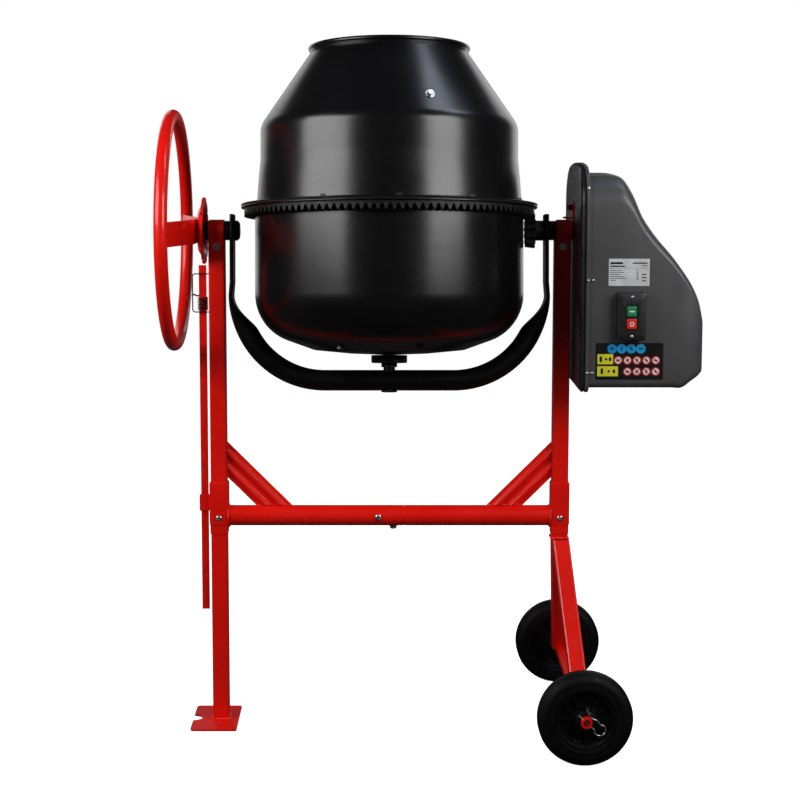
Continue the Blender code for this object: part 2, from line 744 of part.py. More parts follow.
def make_drum_shells():
    top = FLANGE_Z + DRUM_WALL
    inside_up = list(reversed(lower_wall(DRUM_WALL))) + [(LOWER_RADIUS - DRUM_WALL, top)]
    outside_down = [(FLANGE_RADIUS, top), (FLANGE_RADIUS, FLANGE_Z), (LOWER_RADIUS, FLANGE_Z)]
    outside_down += lower_wall(0)
    place(turned("lower_drum", inside_up + outside_down, "Z", (0, 0, 0), DRUM_STEPS), DRUM_BLACK, TILT_AXIS)

    seal_low = top + FIT
    seal_high = seal_low + SEAL_THICKNESS
    ring = [(0.3140, seal_high), (0.3140, seal_low), (0.2860, seal_low), (0.2860, seal_high)]
    place(turned("flange_seal", ring, "Z", (0, 0, 0), DRUM_STEPS), SEAL, TILT_AXIS)

    base = seal_high + FIT
    bead = 0.005
    wall_line = [
        (MOUTH_RADIUS + 0.0015, MOUTH_Z - 0.007),
        (CONE_BASE_RADIUS - 0.006, CONE_BASE_Z + 0.008),
        (CONE_BASE_RADIUS, CONE_BASE_Z - 0.008),
        (CONE_BASE_RADIUS, 0.150),
        (UPPER_RADIUS - 0.003, 0.088),
        (UPPER_RADIUS, base + 0.008),
    ]
    rolled_edge = [
        (MOUTH_RADIUS - DRUM_WALL, MOUTH_Z + 0.004),
        (MOUTH_RADIUS, MOUTH_Z + 0.008),
        (MOUTH_RADIUS + bead, MOUTH_Z + 0.005),
        (MOUTH_RADIUS + bead, MOUTH_Z - 0.002),
    ]
    flange = [(FLANGE_RADIUS, base + DRUM_WALL), (FLANGE_RADIUS, base), (UPPER_RADIUS - DRUM_WALL, base)]
    inside_up = [(r - DRUM_WALL, z) for r, z in reversed(wall_line)]
    profile = rolled_edge + wall_line + flange + inside_up
    place(turned("upper_drum", profile, "Z", (0, 0, 0), DRUM_STEPS), DRUM_BLACK, TILT_AXIS)


def make_drum_hub():
    """The hub under the drum, and the bearing that it carries on the fixed spindle."""
    top = DRUM_BOTTOM_Z - FIT
    step = DRUM_BOTTOM_Z - 0.017
    neck = DRUM_BOTTOM_Z - 0.026
    bearing_low = DRUM_BOTTOM_Z - 0.014
    bore = SPINDLE_RADIUS + RUNNING_FIT
    pocket = BEARING_RADIUS + FIT
    hub = [
        (HUB_RADIUS, top),
        (HUB_RADIUS, step),
        (0.0170, step),
        (0.0170, neck),
        (bore, neck),
        (bore, bearing_low - FIT),
        (pocket, bearing_low - FIT),
        (pocket, top),
    ]
    place(turned("drum_hub", hub, "Z", (0, 0, 0), 24), CAST_IRON, TILT_AXIS)
    high = top - FIT
    ring = [(BEARING_RADIUS, high), (BEARING_RADIUS, bearing_low), (bore, bearing_low), (bore, high)]
    place(turned("drum_bearing", ring, "Z", (0, 0, 0), 24), STEEL, TILT_AXIS)


def make_blades():
    """Two bent flat bars inside the drum, each fixed at the dished bottom and on the cone."""
    half = 0.0025
    line = [(0.188, -0.234), (0.232, -0.150), (0.198, 0.020), (0.214, 0.150), (0.236, 0.233), (0.214, 0.280)]
    outline = [(r + half, z) for r, z in line] + [(r - half, z) for r, z in reversed(line)]
    for i in range(2):
        name = f"mixing_blade_{i + 1}"
        blade = flat(name, [outline], -0.030, 0.030, "XZ")
        studs = [
            rod(name + "_top_stud", 0.006, (0.230, 0, 0.240), 0.0235, "X", 12),
            rod(name + "_low_stud", 0.006, (0.190, 0, -0.2375), 0.020, "Z", 12),
        ]
        around = Matrix.Rotation(math.radians(BLADE_BEARING + 180 * i), 4, "Z")
        blade.data.transform(around)
        place(blade, DRUM_BLACK, TILT_AXIS)
        for stud in studs:
            stud.data.transform(around)
            combine(blade, as_tool(stud, TILT_AXIS), "UNION")


def ring_gear_half(name, first_tooth, teeth):
    """An arc of downward teeth. Heights scale with the distance from the apex on the tilt axis."""
    pitch = math.tau / RING_TEETH
    quarter = pitch / 4 * TOOTH_FILL
    slope = math.tan(PRESSURE_ANGLE) / RING_PITCH_RADIUS
    tip_half = quarter - MODULE * slope
    root_half = quarter + 1.25 * MODULE * slope
    tip = (PINION_PITCH_RADIUS - MODULE) / RING_PITCH_RADIUS
    root = (PINION_PITCH_RADIUS + 1.25 * MODULE) / RING_PITCH_RADIUS
    back = FLANGE_Z - FIT
    start = first_tooth * pitch
    end_gap = 0.0004 / RING_PITCH_RADIUS
    bottom = [(start + end_gap, root)]
    backs = [start + end_gap]
    for i in range(teeth):
        middle = start + (i + 0.5) * pitch
        bottom += [(middle - root_half, root), (middle - tip_half, tip)]
        bottom += [(middle + tip_half, tip), (middle + root_half, root)]
        if i:
            backs.append(middle - pitch / 2)
    bottom.append((start + teeth * pitch - end_gap, root))
    backs.append(start + teeth * pitch - end_gap)

    cage = bmesh.new()
    low, high = [], []
    for radius in (RING_INNER, RING_OUTER):
        low_row = []
        for a, h in bottom:
            low_row.append(cage.verts.new((radius * math.cos(a), radius * math.sin(a), radius * h)))
        high_row = []
        for a in backs:
            high_row.append(cage.verts.new((radius * math.cos(a), radius * math.sin(a), back)))
        low.append(low_row)
        high.append(high_row)
    for i in range(len(bottom) - 1):
        cage.faces.new((low[0][i], low[0][i + 1], low[1][i + 1], low[1][i]))
    for i in range(teeth):
        first = 0 if i == 0 else 4 * i
        last = 4 * i + 5 if i == teeth - 1 else 4 * i + 4
        for side in (0, 1):
            cage.faces.new(low[side][first : last + 1] + [high[side][i + 1], high[side][i]])
        cage.faces.new((high[0][i], high[0][i + 1], high[1][i + 1], high[1][i]))
    for low_i, high_i in ((0, 0), (-1, -1)):
        cage.faces.new((low[0][low_i], low[1][low_i], high[1][high_i], high[0][high_i]))
    bmesh.ops.recalc_face_normals(cage, faces=cage.faces)
    place(object_from(cage, name), CAST_IRON, TILT_AXIS)


def pinion_outline():
    """An involute gear outline with a tooth pointing up, root to tip and back for each tooth."""
    pitch_r = PINION_PITCH_RADIUS
    base = pitch_r * math.cos(PRESSURE_ANGLE)
    root = pitch_r - 1.25 * MODULE
    tip = pitch_r + MODULE * 0.98

    def involute(radius):
        a = math.acos(min(1.0, base / radius))
        return math.tan(a) - a

    half_at_pitch = math.pi / (2 * PINION_TEETH) * TOOTH_FILL
    flank = []
    for i in range(4):
        radius = base + (tip - base) * i / 3
        flank.append((radius, half_at_pitch + involute(pitch_r) - involute(radius)))
    flank.insert(0, (root, flank[0][1]))
    points = []
    for tooth in range(PINION_TEETH):
        middle = math.pi / 2 + math.tau * tooth / PINION_TEETH
        points += [(r, middle - a) for r, a in flank]
        points += [(r, middle + a) for r, a in reversed(flank)]
    return [(r * math.cos(a), r * math.sin(a)) for r, a in points]


def make_pinion():
    """The pinion with its shaft and large pulley; they turn inside the right trunnion."""
    outline = pinion_outline()
    rings = []
    for x in PINION_X:
        scale = x / RING_PITCH_RADIUS
        rings.append([(x, u * scale, v * scale) for u, v in outline])
    gear = place(loft("pinion_gear", rings), CAST_IRON, TILT_AXIS)
    boss_end = ARM_X - ARM_HALF_THICK - RUNNING_FIT
    boss = rod("pinion_boss", 0.0215, (0.302, 0, 0), boss_end - 0.302, "X")
    bore = rod("pinion_bore", SHAFT_RADIUS + FIT, (0.25, 0, 0), 0.1, "X")
    combine(gear, as_tool(boss, TILT_AXIS), "UNION")
    combine(gear, as_tool(bore, TILT_AXIS))
    shaft_start = PINION_X[0] + 0.0005
    shaft = rod("pinion_shaft", SHAFT_RADIUS, (shaft_start, 0, 0), SHAFT_END_X - shaft_start, "X")
    place(shaft, STEEL, TILT_AXIS, smooth=40)
    pulley = turned("drive_pulley", pulley_profile(BIG_PULLEY, SHAFT_RADIUS + FIT), "X", (0, 0, 0), 32)
    place(pulley, CAST_IRON, TILT_AXIS)


def pulley_profile(radius, bore):
    """A rimmed wheel between the belt's edges, with a thin web and a hub."""
    low, high = PULLEY_X
    middle = (low + high) / 2
    web = 0.003
    profile = [(radius, high), (radius, low)]
    if radius > 0.05:
        profile += [(radius - 0.006, low), (radius - 0.006, middle - web), (bore + 0.012, middle - web)]
        profile += [(bore + 0.012, low), (bore, low), (bore, high), (bore + 0.012, high)]
        profile += [(bore + 0.012, middle + web), (radius - 0.006, middle + web), (radius - 0.006, high)]
    else:
        profile += [(bore, low), (bore, high)]
    return profile


# Drive and housing


def make_drive():
    middle = (MOTOR_X[0] + MOTOR_X[1]) / 2
    fan_x = MOTOR_X[1] - 0.030
    bore = MOTOR_SHAFT + RUNNING_FIT
    body = [
        (MOTOR_RADIUS, fan_x - 0.006),
        (MOTOR_RADIUS, MOTOR_X[0] + 0.010),
        (MOTOR_RADIUS - 0.012, MOTOR_X[0]),
        (bore, MOTOR_X[0]),
        (bore, fan_x - 0.006),
    ]
    body = place(turned("motor_body", body, "X", (0, 0, MOTOR_Z), 24), MOTOR_PAINT)
    shelf_top = MOTOR_Z - MOTOR_RADIUS - 0.008
    feet_low = (middle - 0.045, -0.040, shelf_top + FIT)
    feet_high = (middle + 0.020, 0.040, MOTOR_Z - 0.050)
    feet = block("motor_feet", feet_low, feet_high)
    hollow = rod("motor_feet_clear", bore, (MOTOR_X[0] - 0.01, 0, MOTOR_Z), 0.2, "X")
    combine(body, as_tool(feet), "UNION")
    combine(body, as_tool(hollow))
    plate_x = BACK_X + HOUSING_WALL + FIT
    half_wide = 0.060
    bracket_high = (plate_x + 0.003, half_wide, MOTOR_Z + 0.060)
    bracket = block("motor_bracket", (plate_x, -half_wide, shelf_top - 0.020), bracket_high)
    shelf_low = (plate_x + 0.001, -half_wide, shelf_top - 0.004)
    shelf = block("motor_shelf", shelf_low, (MOTOR_X[1], half_wide, shelf_top))
    place(bracket, STEEL)
    combine(bracket, as_tool(shelf), "UNION")
    shaft_start = PULLEY_X[0] - 0.004
    shaft_length = MOTOR_X[1] + 0.006 - shaft_start
    shaft = rod("motor_shaft", MOTOR_SHAFT, (shaft_start, 0, MOTOR_Z), shaft_length, "X")
    place(shaft, STEEL, smooth=40)
    fan_bore = MOTOR_SHAFT + FIT
    fan = [
        (0.052, fan_x + 0.014),
        (0.052, fan_x),
        (0.049, fan_x),
        (0.049, fan_x + 0.011),
        (0.014, fan_x + 0.011),
        (0.014, fan_x),
        (fan_bore, fan_x),
        (fan_bore, fan_x + 0.014),
    ]
    place(turned("motor_fan", fan, "X", (0, 0, MOTOR_Z), 24), RIM)
    small = turned("motor_pulley", pulley_profile(SMALL_PULLEY, fan_bore), "X", (0, 0, MOTOR_Z), 24)
    place(small, CAST_IRON)

    gap = 0.0005
    centre_gap = PIVOT_Z - MOTOR_Z
    wrap = math.degrees(math.asin((BIG_PULLEY - SMALL_PULLEY) / centre_gap))
    loops = []
    for reach in (gap + BELT_THICKNESS, gap):
        loop = arc((0, PIVOT_Z), BIG_PULLEY + reach, -wrap, 180 + wrap, 24)
        loop += arc((0, MOTOR_Z), SMALL_PULLEY + reach, 180 + wrap, 360 - wrap, 7)
        loops.append(loop)
    belt_middle = (PULLEY_X[0] + PULLEY_X[1]) / 2
    belt = flat("drive_belt", loops, belt_middle - BELT_WIDTH / 2, belt_middle + BELT_WIDTH / 2, "YZ")
    place(belt, BELT)


def housing_ring(x, low, high, half_depth, top_radius, low_radius, crown=0.0):
    """A rounded section of the housing across X, its top raised to a crown in the middle."""
    corners = (
        ((half_depth, high), top_radius, 0),
        ((-half_depth, high), top_radius, 90),
        ((-half_depth, low), low_radius, 180),
        ((half_depth, low), low_radius, 270),
    )
    ring = []
    for (y, z), radius, start in corners:
        middle = (y - math.copysign(radius, y), z + (radius if start >= 180 else -radius))
        for u, v in arc(middle, radius, start, start + 90, 5):
            lift = crown * max(0.0, 1 - (u / half_depth) ** 2) if start < 180 else 0.0
            ring.append((x, u, v + lift))
        if start == 0:
            ring.append((x, 0, high + crown))
    return ring


def cover_sections():
    """Body sections from the flange out to the end: X, bottom, top, half depth and top corner radius."""
    high, low, half = HOUSING_HIGH, HOUSING_LOW, HOUSING_HALF_DEPTH
    return [
        (COVER_BODY_X, low, high, half, 0.060),
        (0.467, low, high, half, 0.055),
        (0.485, low, high - 0.009, half, 0.050),
        (0.504, low, high - 0.044, half, 0.040),
        (0.522, low, 1.110, half, 0.030),
        (0.548, low, 1.071, half, 0.024),
        (0.583, low, 1.030, half, 0.020),
        (0.606, low, 0.999, half, 0.018),
        (0.625, 0.771, 0.970, half - 0.002, 0.018),
        (0.640, 0.781, 0.938, half - 0.008, 0.018),
        (0.649, 0.788, 0.905, half - 0.018, 0.018),
    ]


def make_housing():
    half, rim = HOUSING_HALF_DEPTH, FLANGE_RIM
    crown = 0.018
    low, high = HOUSING_LOW - rim, FLANGE_HIGH
    edge = housing_ring(COVER_EDGE_X, low, high, half + 0.004, 0.066, 0.020, crown)
    edge_end = housing_ring(COVER_BODY_X - 0.0015, low, high, half + 0.004, 0.066, 0.020, crown)
    outer = [edge, edge_end]
    wall = HOUSING_WALL
    outer += [housing_ring(x, a, b, d, r, 0.014, 0.006) for x, a, b, d, r in cover_sections()]
    skin = loft("housing_cover", outer)
    sections = cover_sections()
    mouth = (COVER_EDGE_X - 0.02, *sections[0][1:])
    inner = []
    for x, a, b, d, r in [mouth] + sections:
        shift = 0 if x < 0.55 else wall * 0.6
        inner.append(housing_ring(x - shift, a + wall, b - wall * 1.25, d - wall, r - wall, 0.011, 0.006))
    inner[-1] = [(x - wall, y, z) for x, y, z in inner[-1]]
    place(skin, CASING, smooth=32)
    combine(skin, as_tool(loft("cover_hollow", inner)))

    back_outer = [
        housing_ring(BACK_X, low, high, half + 0.002, 0.066, 0.020, crown),
        housing_ring(BACK_EDGE_X, low, high, half + 0.002, 0.066, 0.020, crown),
    ]
    back = place(loft("housing_back", back_outer), CASING, smooth=32)
    hollow = [
        housing_ring(BACK_X + wall, low + wall, high - wall, half - 0.001, 0.063, 0.017, crown),
        housing_ring(BACK_EDGE_X + 0.01, low + wall, high - wall, half - 0.001, 0.063, 0.017, crown),
    ]
    combine(back, as_tool(loft("back_hollow", hollow)))
    combine(back, as_tool(rod("back_shaft_hole", SHOULDER_RADIUS + 0.004, (0.38, 0, PIVOT_Z), 0.05, "X")))

    plate_x = BACK_X - FIT
    tab_low = (RIGHT_X + 0.002, -0.013, PIVOT_Z + 0.0260)
    tab = block("housing_bracket", tab_low, (plate_x, 0.013, PIVOT_Z + 0.0295))
    tab_plate_low = (plate_x - 0.003, -0.022, PIVOT_Z + 0.0262)
    tab_plate = block("bracket_plate", tab_plate_low, (plate_x, 0.022, PIVOT_Z + 0.062))
    place(tab, RED)
    combine(tab, as_tool(tab_plate), "UNION")


def make_switch():
    face_y = -HOUSING_HALF_DEPTH - FIT
    case_low = (SWITCH_X[0], face_y - SWITCH_DEPTH, SWITCH_Z[0])
    case = block("switch_box", case_low, (SWITCH_X[1], face_y, SWITCH_Z[1]))
    place(case, SWITCH_BLACK)
    bevel(case, 0.003, 2)
    width, depth, height = BUTTON_SIZE
    front = face_y - SWITCH_DEPTH
    for name, z, finish in (("start_button", START_Z, GREEN), ("stop_button", STOP_Z, STOP_RED)):
        gap = 0.0008
        low = (BUTTON_X - width / 2, front - 0.004, z - height / 2)
        high = (BUTTON_X + width / 2, front + depth - 0.004, z + height / 2)
        well_low = (low[0] - gap, front - 0.02, low[2] - gap)
        well_high = (high[0] + gap, high[1] + BUTTON_TRAVEL + 0.001, high[2] + gap)
        combine(case, as_tool(block(name + "_well", well_low, well_high)))
        button = block(name, low, high)
        button.data.transform(Matrix.Translation(-Vector((BUTTON_X, front, z))))
        button.location = (BUTTON_X, front, z)
        place(button, finish)
        bevel(button, 0.002, 2)


# Locking bar


def make_lock():
    half_w, half_t = BAR_WIDTH / 2, BAR_THICK / 2
    bar = block("lock_bar", (BAR_X - half_w, -half_t, BAR_LOW), (BAR_X + half_w, half_t, BAR_HIGH))
    place(bar, RED)
    hole = rod("pin_hole", PIN_RADIUS + FIT, (BAR_X - 0.03, 0, PIN_Z), 0.06, "X", 12)
    combine(bar, as_tool(hole))
    pin = [(BAR_X + half_w - 0.002, 0, PIN_Z), (BAR_X - half_w - 0.006, 0, PIN_Z)]
    pin += [(BAR_X - half_w - 0.011, 0.003, PIN_Z + 0.003), (BAR_X - half_w - 0.016, 0.003, PIN_Z - 0.001)]
    place(wire("spring_pin", pin, PIN_RADIUS, 1), SPRING_STEEL, smooth=60)

    low, high = SPRING_Z
    count = SPRING_TURNS * SPRING_STEPS
    coil = []
    for i in range(count + 1):
        angle = math.tau * i / SPRING_STEPS
        x = BAR_X + SPRING_RADIUS * math.cos(angle)
        y = SPRING_RADIUS * math.sin(angle)
        coil.append((x, y, low + (high - low) * i / count))
    place(wire("lock_spring", coil, SPRING_WIRE, 1), SPRING_STEEL, smooth=60)

    post_face = LEFT_X - TUBE / 2 - FIT
    bend = 0.006
    keeper = [(post_face, KEEPER_Z[1])]
    keeper += arc((KEEPER_X + bend, KEEPER_Z[1] - bend), bend, 90, 180, 3)
    keeper += arc((KEEPER_X + bend, KEEPER_Z[0] + bend), bend, 180, 270, 3)
    keeper.append((post_face, KEEPER_Z[0]))
    path = [(x, KEEPER_Y, z) for x, z in keeper]
    place(wire("spring_keeper", path, KEEPER_WIRE, 1), SPRING_STEEL, smooth=60)

    gap = 0.0006
    wall = 0.0028
    reach_x = half_w + gap + wall
    reach_y = half_t + gap + wall
    sleeve_face = LEFT_X - SLEEVE / 2 - FIT
    guide_low = (BAR_X - reach_x, -reach_y, GUIDE_Z[0])
    guide = block("pedal_guide", guide_low, (sleeve_face, reach_y, GUIDE_Z[1]))
    slot_low = (BAR_X - half_w - gap, -half_t - gap, 0.4)
    slot = block("guide_slot", slot_low, (BAR_X + half_w + gap, half_t + gap, 0.6))
    place(guide, RED)
    combine(guide, as_tool(slot))


def main():
    make_stand()
    make_wheels()
    make_yoke()
    make_trunnions()
    make_locking_disc()
    make_handwheel()
    make_spindle()
    make_drum_shells()
    make_drum_hub()
    make_blades()
    ring_gear_half("ring_gear_half_1", 15.0, 60)
    ring_gear_half("ring_gear_half_2", 75.0, 60)
    make_pinion()
    make_drive()
    make_housing()
    make_switch()
    make_lock()


main()
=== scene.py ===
"""Looks of a tilting drum concrete mixer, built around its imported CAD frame.

Metres, +Z up. The drum, yoke, pinion and handwheel are drawn in the tilting frame, whose Z is the
drum's own axis and whose origin is on the tilt axis. TILTED carries them into the row frame.
"""

import json
import math

import bmesh
import bpy
from mathutils import Matrix, Vector


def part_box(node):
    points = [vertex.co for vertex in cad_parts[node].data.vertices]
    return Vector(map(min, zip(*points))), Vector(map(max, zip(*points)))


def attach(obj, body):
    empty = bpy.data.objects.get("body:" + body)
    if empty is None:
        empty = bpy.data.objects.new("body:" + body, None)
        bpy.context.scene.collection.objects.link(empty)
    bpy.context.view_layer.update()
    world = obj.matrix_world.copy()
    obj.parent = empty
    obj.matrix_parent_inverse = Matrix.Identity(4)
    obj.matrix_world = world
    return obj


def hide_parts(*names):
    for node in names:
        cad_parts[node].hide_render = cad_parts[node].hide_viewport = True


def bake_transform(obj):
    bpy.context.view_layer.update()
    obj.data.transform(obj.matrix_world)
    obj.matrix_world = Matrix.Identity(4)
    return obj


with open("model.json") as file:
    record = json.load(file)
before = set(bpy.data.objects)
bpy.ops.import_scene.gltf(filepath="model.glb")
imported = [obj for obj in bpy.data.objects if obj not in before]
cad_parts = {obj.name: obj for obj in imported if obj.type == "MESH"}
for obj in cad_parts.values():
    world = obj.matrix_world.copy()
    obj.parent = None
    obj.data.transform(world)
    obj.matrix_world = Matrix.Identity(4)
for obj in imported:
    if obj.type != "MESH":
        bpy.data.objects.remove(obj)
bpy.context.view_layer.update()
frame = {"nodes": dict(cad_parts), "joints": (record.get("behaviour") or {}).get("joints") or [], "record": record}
NODES = frame["nodes"]
JOINTS = {joint["name"]: joint for joint in frame["joints"]}
BODY_OF = {node: body for body, nodes in frame["record"]["behaviour"]["bodies"].items() for node in nodes}
PIVOT = Vector(JOINTS["tilt"]["pos_m"])
DRUM_AXIS = Vector(JOINTS["drum_spin"]["axis"])
REST_TILT = -math.atan2(DRUM_AXIS.y, DRUM_AXIS.z)
TILTED = Matrix.Translation(PIVOT) @ Matrix.Rotation(REST_TILT, 4, "X")
UPRIGHT = Matrix.Identity(4)
REPLACED = set()

# Drum, in the tilting frame
LOWER_RADIUS = 0.286
UPPER_RADIUS = 0.282
CONE_RADIUS = 0.2745
CONE_Z = 0.221
MOUTH_RADIUS = 0.167
MOUTH_Z = 0.384
FLANGE_RADIUS = 0.316
FLANGE_Z = 0.0465
SHEET = 0.003
UPPER_FLANGE_Z = 0.0516
CORNER_RADIUS = 0.105
CORNER_Z = -0.136
BOTTOM_Z = -0.266
BLADE_BEARING = -71
FLANGE_BOLTS = 12
FLANGE_BOLT_START = -116.5
FLANGE_BOLT_RADIUS = 0.2985
BLADE_BOLT_HIGH = 0.2625
BLADE_BOLT_LOW = -0.2452
BLADE_BOLT_LOW_RADIUS = 0.190

# Yoke, in the tilting frame
YOKE_PIPE = 0.0222
YOKE_BOTTOM = -0.320

# Stand
LEFT_X = sum(corner.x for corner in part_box("left_post")) / 2
RIGHT_X = sum(corner.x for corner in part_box("right_post")) / 2
TUBE = 0.035
SLEEVE = 0.0406
BEAM_Z = sum(corner.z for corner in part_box("left_beam")) / 2
BEAM_RADIUS = 0.02225
SLEEVE_BOLT_Z = 0.4555
GREASE_BOLT_Z = 1.0435
BRACKET_BOLT_Z = 1.1270
POST_TOP_WELD_Z = 1.0605
FOOT_WELD_Z = 0.0062
STUB_WELD_Z = 0.4105
BRACE_WELD_Z = (0.5440, 0.6190)
BRACE_WELD_REACH = (0.0640, 0.1380)
BRACE_SHEET_Y = {"front": -0.0004, "back": 0.0029}
WHEEL_RIBS = 12

# Handwheel and locking disc, in the tilting frame
WHEEL_RADIUS = 0.243
DISC_NOTCHES = 12

# Housing
HOUSING_FRONT = -0.150
FLANGE_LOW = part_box("housing_cover")[0].z
FLANGE_HIGH = 1.204
COVER_LOW = FLANGE_LOW + 0.010
COVER_HIGH = 1.194


# Materials


class Recipe:
    """A procedural finish: a Principled shader with noise for mottling, grain, dust and worn edges."""

    def __init__(self, name, roughness, metallic=0.0, specular=0.5):
        self.material = bpy.data.materials.new(name)
        self.material.use_nodes = True
        self.tree = self.material.node_tree
        self.shader = self.tree.nodes["Principled BSDF"]
        self.shader.inputs["Metallic"].default_value = metallic
        self.shader.inputs["Roughness"].default_value = roughness
        self.shader.inputs["Specular IOR Level"].default_value = specular
        self.place = self.node("ShaderNodeTexCoord").outputs["Object"]

    def node(self, kind, **settings):
        made = self.tree.nodes.new(kind)
        for key, value in settings.items():
            setattr(made, key, value)
        return made

    def join(self, out, into):
        self.tree.links.new(out, into)

    def noise(self, scale, detail, stretch=None):
        """A noise value over the piece. Stretch scales each axis before the noise is read."""
        made = self.node("ShaderNodeTexNoise")
        made.inputs["Scale"].default_value = scale
        made.inputs["Detail"].default_value = detail
        source = self.place
        if stretch:
            mapping = self.node("ShaderNodeMapping")
            mapping.inputs["Scale"].default_value = stretch
            self.join(source, mapping.inputs["Vector"])
            source = mapping.outputs["Vector"]
        self.join(source, made.inputs["Vector"])
        return made.outputs["Fac"]

    def spread(self, value, low, high, into_low=0.0, into_high=1.0):
        """Remaps a value from one range to another, clamped."""
        made = self.node("ShaderNodeMapRange")
        ends = {"From Min": low, "From Max": high, "To Min": into_low, "To Max": into_high}
        for key, number in ends.items():
            made.inputs[key].default_value = number
        self.join(value, made.inputs["Value"])
        return made.outputs["Result"]

    def mix(self, amount, first, second):
        """Blends two colours. Each is a colour tuple or another node's output."""
        made = self.node("ShaderNodeMix", data_type="RGBA")
        for key, colour in ((6, first), (7, second)):
            if isinstance(colour, tuple):
                made.inputs[key].default_value = (*colour, 1.0)
            else:
                self.join(colour, made.inputs[key])
        self.join(amount, made.inputs[0])
        return made.outputs[2]

    def product(self, first, second):
        made = self.node("ShaderNodeMath", operation="MULTIPLY")
        self.join(first, made.inputs[0])
        self.join(second, made.inputs[1])
        return made.outputs[0]

    def mottle(self, scale, detail, dark, light, low=0.35, high=0.65):
        """Two tones mixed by soft noise."""
        return self.mix(self.spread(self.noise(scale, detail), low, high), dark, light)

    def specks(self, scale, low, high, most, base, colour):
        """Fine specks of a colour over a base."""
        return self.mix(self.spread(self.noise(scale, 2), low, high, 0, most), base, colour)

    def worn(self, low, high):
        """Rises from 0 to 1 on sharp outer edges, broken up by noise."""
        edge = self.spread(self.node("ShaderNodeNewGeometry").outputs["Pointiness"], low, high)
        return self.product(edge, self.spread(self.noise(55, 4), 0.42, 0.60))

    def upward(self):
        """Rises from 0 to 1 on faces that look up, broken up by noise, for settled dust."""
        split = self.node("ShaderNodeSeparateXYZ")
        self.join(self.node("ShaderNodeNewGeometry").outputs["Normal"], split.inputs[0])
        face = self.spread(split.outputs["Z"], 0.75, 1.0)
        return self.product(face, self.spread(self.noise(34, 5), 0.40, 0.66))

    def colour(self, out):
        self.join(out, self.shader.inputs["Base Color"])

    def rough(self, value, low, high):
        self.join(self.spread(value, 0.3, 0.7, low, high), self.shader.inputs["Roughness"])

    def bump(self, value, distance, strength):
        made = self.node("ShaderNodeBump")
        made.inputs["Distance"].default_value = distance
        made.inputs["Strength"].default_value = strength
        self.join(value, made.inputs["Height"])
        self.join(made.outputs["Normal"], self.shader.inputs["Normal"])

    def coat(self, weight, roughness):
        self.shader.inputs["Coat Weight"].default_value = weight
        self.shader.inputs["Coat Roughness"].default_value = roughness


def red_enamel():
    """Glossy stoved red: slight orange peel, tone drift along the tubes, edges rubbed a little thin."""
    red = Recipe("red_paint", 0.34, 0.0, 0.24)
    tone = red.mottle(7, 2, (0.82, 0.0062, 0.0016), (0.92, 0.0084, 0.0026))
    tone = red.specks(420, 0.60, 0.75, 0.35, tone, (0.66, 0.004, 0.003))
    red.colour(red.mix(red.worn(0.54, 0.66), tone, (0.66, 0.008, 0.005)))
    red.rough(red.noise(26, 3), 0.30, 0.40)
    red.bump(red.noise(260, 2), 0.00012, 0.35)
    red.coat(0.42, 0.09)
    return red.material


def drum_enamel():
    """Black stoved enamel on spun sheet: soft gloss, faint ripple round the drum and fine dust."""
    black = Recipe("drum_enamel", 0.27)
    tone = black.mottle(5, 2, (0.0020, 0.0020, 0.0024), (0.0040, 0.0040, 0.0045))
    tone = black.specks(520, 0.64, 0.76, 0.25, tone, (0.008, 0.008, 0.0085))
    black.colour(black.mix(black.upward(), tone, (0.007, 0.007, 0.007)))
    black.rough(black.noise(9, 4), 0.225, 0.28)
    black.bump(black.noise(10, 2, (1, 1, 5)), 0.0008, 0.10)
    return black.material


def satin_black():
    """Satin black paint on the yoke pipe and trunnions, with light scuffs on the edges."""
    satin = Recipe("satin_black_paint", 0.34, 0.0, 0.28)
    tone = satin.mottle(12, 3, (0.0020, 0.0020, 0.0022), (0.0042, 0.0042, 0.0045))
    satin.colour(satin.mix(satin.worn(0.55, 0.66), tone, (0.030, 0.029, 0.028)))
    satin.rough(satin.noise(40, 3), 0.26, 0.36)
    satin.bump(satin.noise(380, 2), 0.00012, 0.40)
    return satin.material


def cast_iron():
    """Sand cast iron under thin black paint: pitted grain and bright rubbed corners."""
    iron = Recipe("cast_iron", 0.50, 0.0, 0.35)
    tone = iron.mottle(60, 4, (0.0035, 0.0035, 0.0038), (0.0095, 0.0092, 0.0090))
    iron.colour(iron.mix(iron.worn(0.54, 0.64), tone, (0.070, 0.067, 0.064)))
    iron.rough(iron.noise(90, 3), 0.40, 0.62)
    iron.bump(iron.noise(900, 3), 0.00025, 0.6)
    return iron.material


def machined_steel():
    """Turned bright steel with fine tool marks and a thin film of oil."""
    steel = Recipe("machined_steel", 0.30, 1.0)
    steel.colour(steel.mottle(50, 3, (0.36, 0.355, 0.35), (0.52, 0.515, 0.51)))
    steel.rough(steel.noise(70, 3, (6, 1, 1)), 0.22, 0.42)
    steel.bump(steel.noise(1400, 1, (4, 1, 1)), 0.00006, 0.5)
    return steel.material


def zinc_plate():
    """Bright zinc plating with a cool, slightly cloudy passivated tint."""
    zinc = Recipe("zinc_plate", 0.30, 1.0)
    tone = zinc.mottle(160, 3, (0.56, 0.58, 0.60), (0.76, 0.75, 0.70))
    zinc.colour(zinc.mix(zinc.worn(0.55, 0.70), tone, (0.40, 0.38, 0.36)))
    zinc.rough(zinc.noise(240, 3), 0.20, 0.38)
    zinc.bump(zinc.noise(1600, 2), 0.00004, 0.5)
    return zinc.material


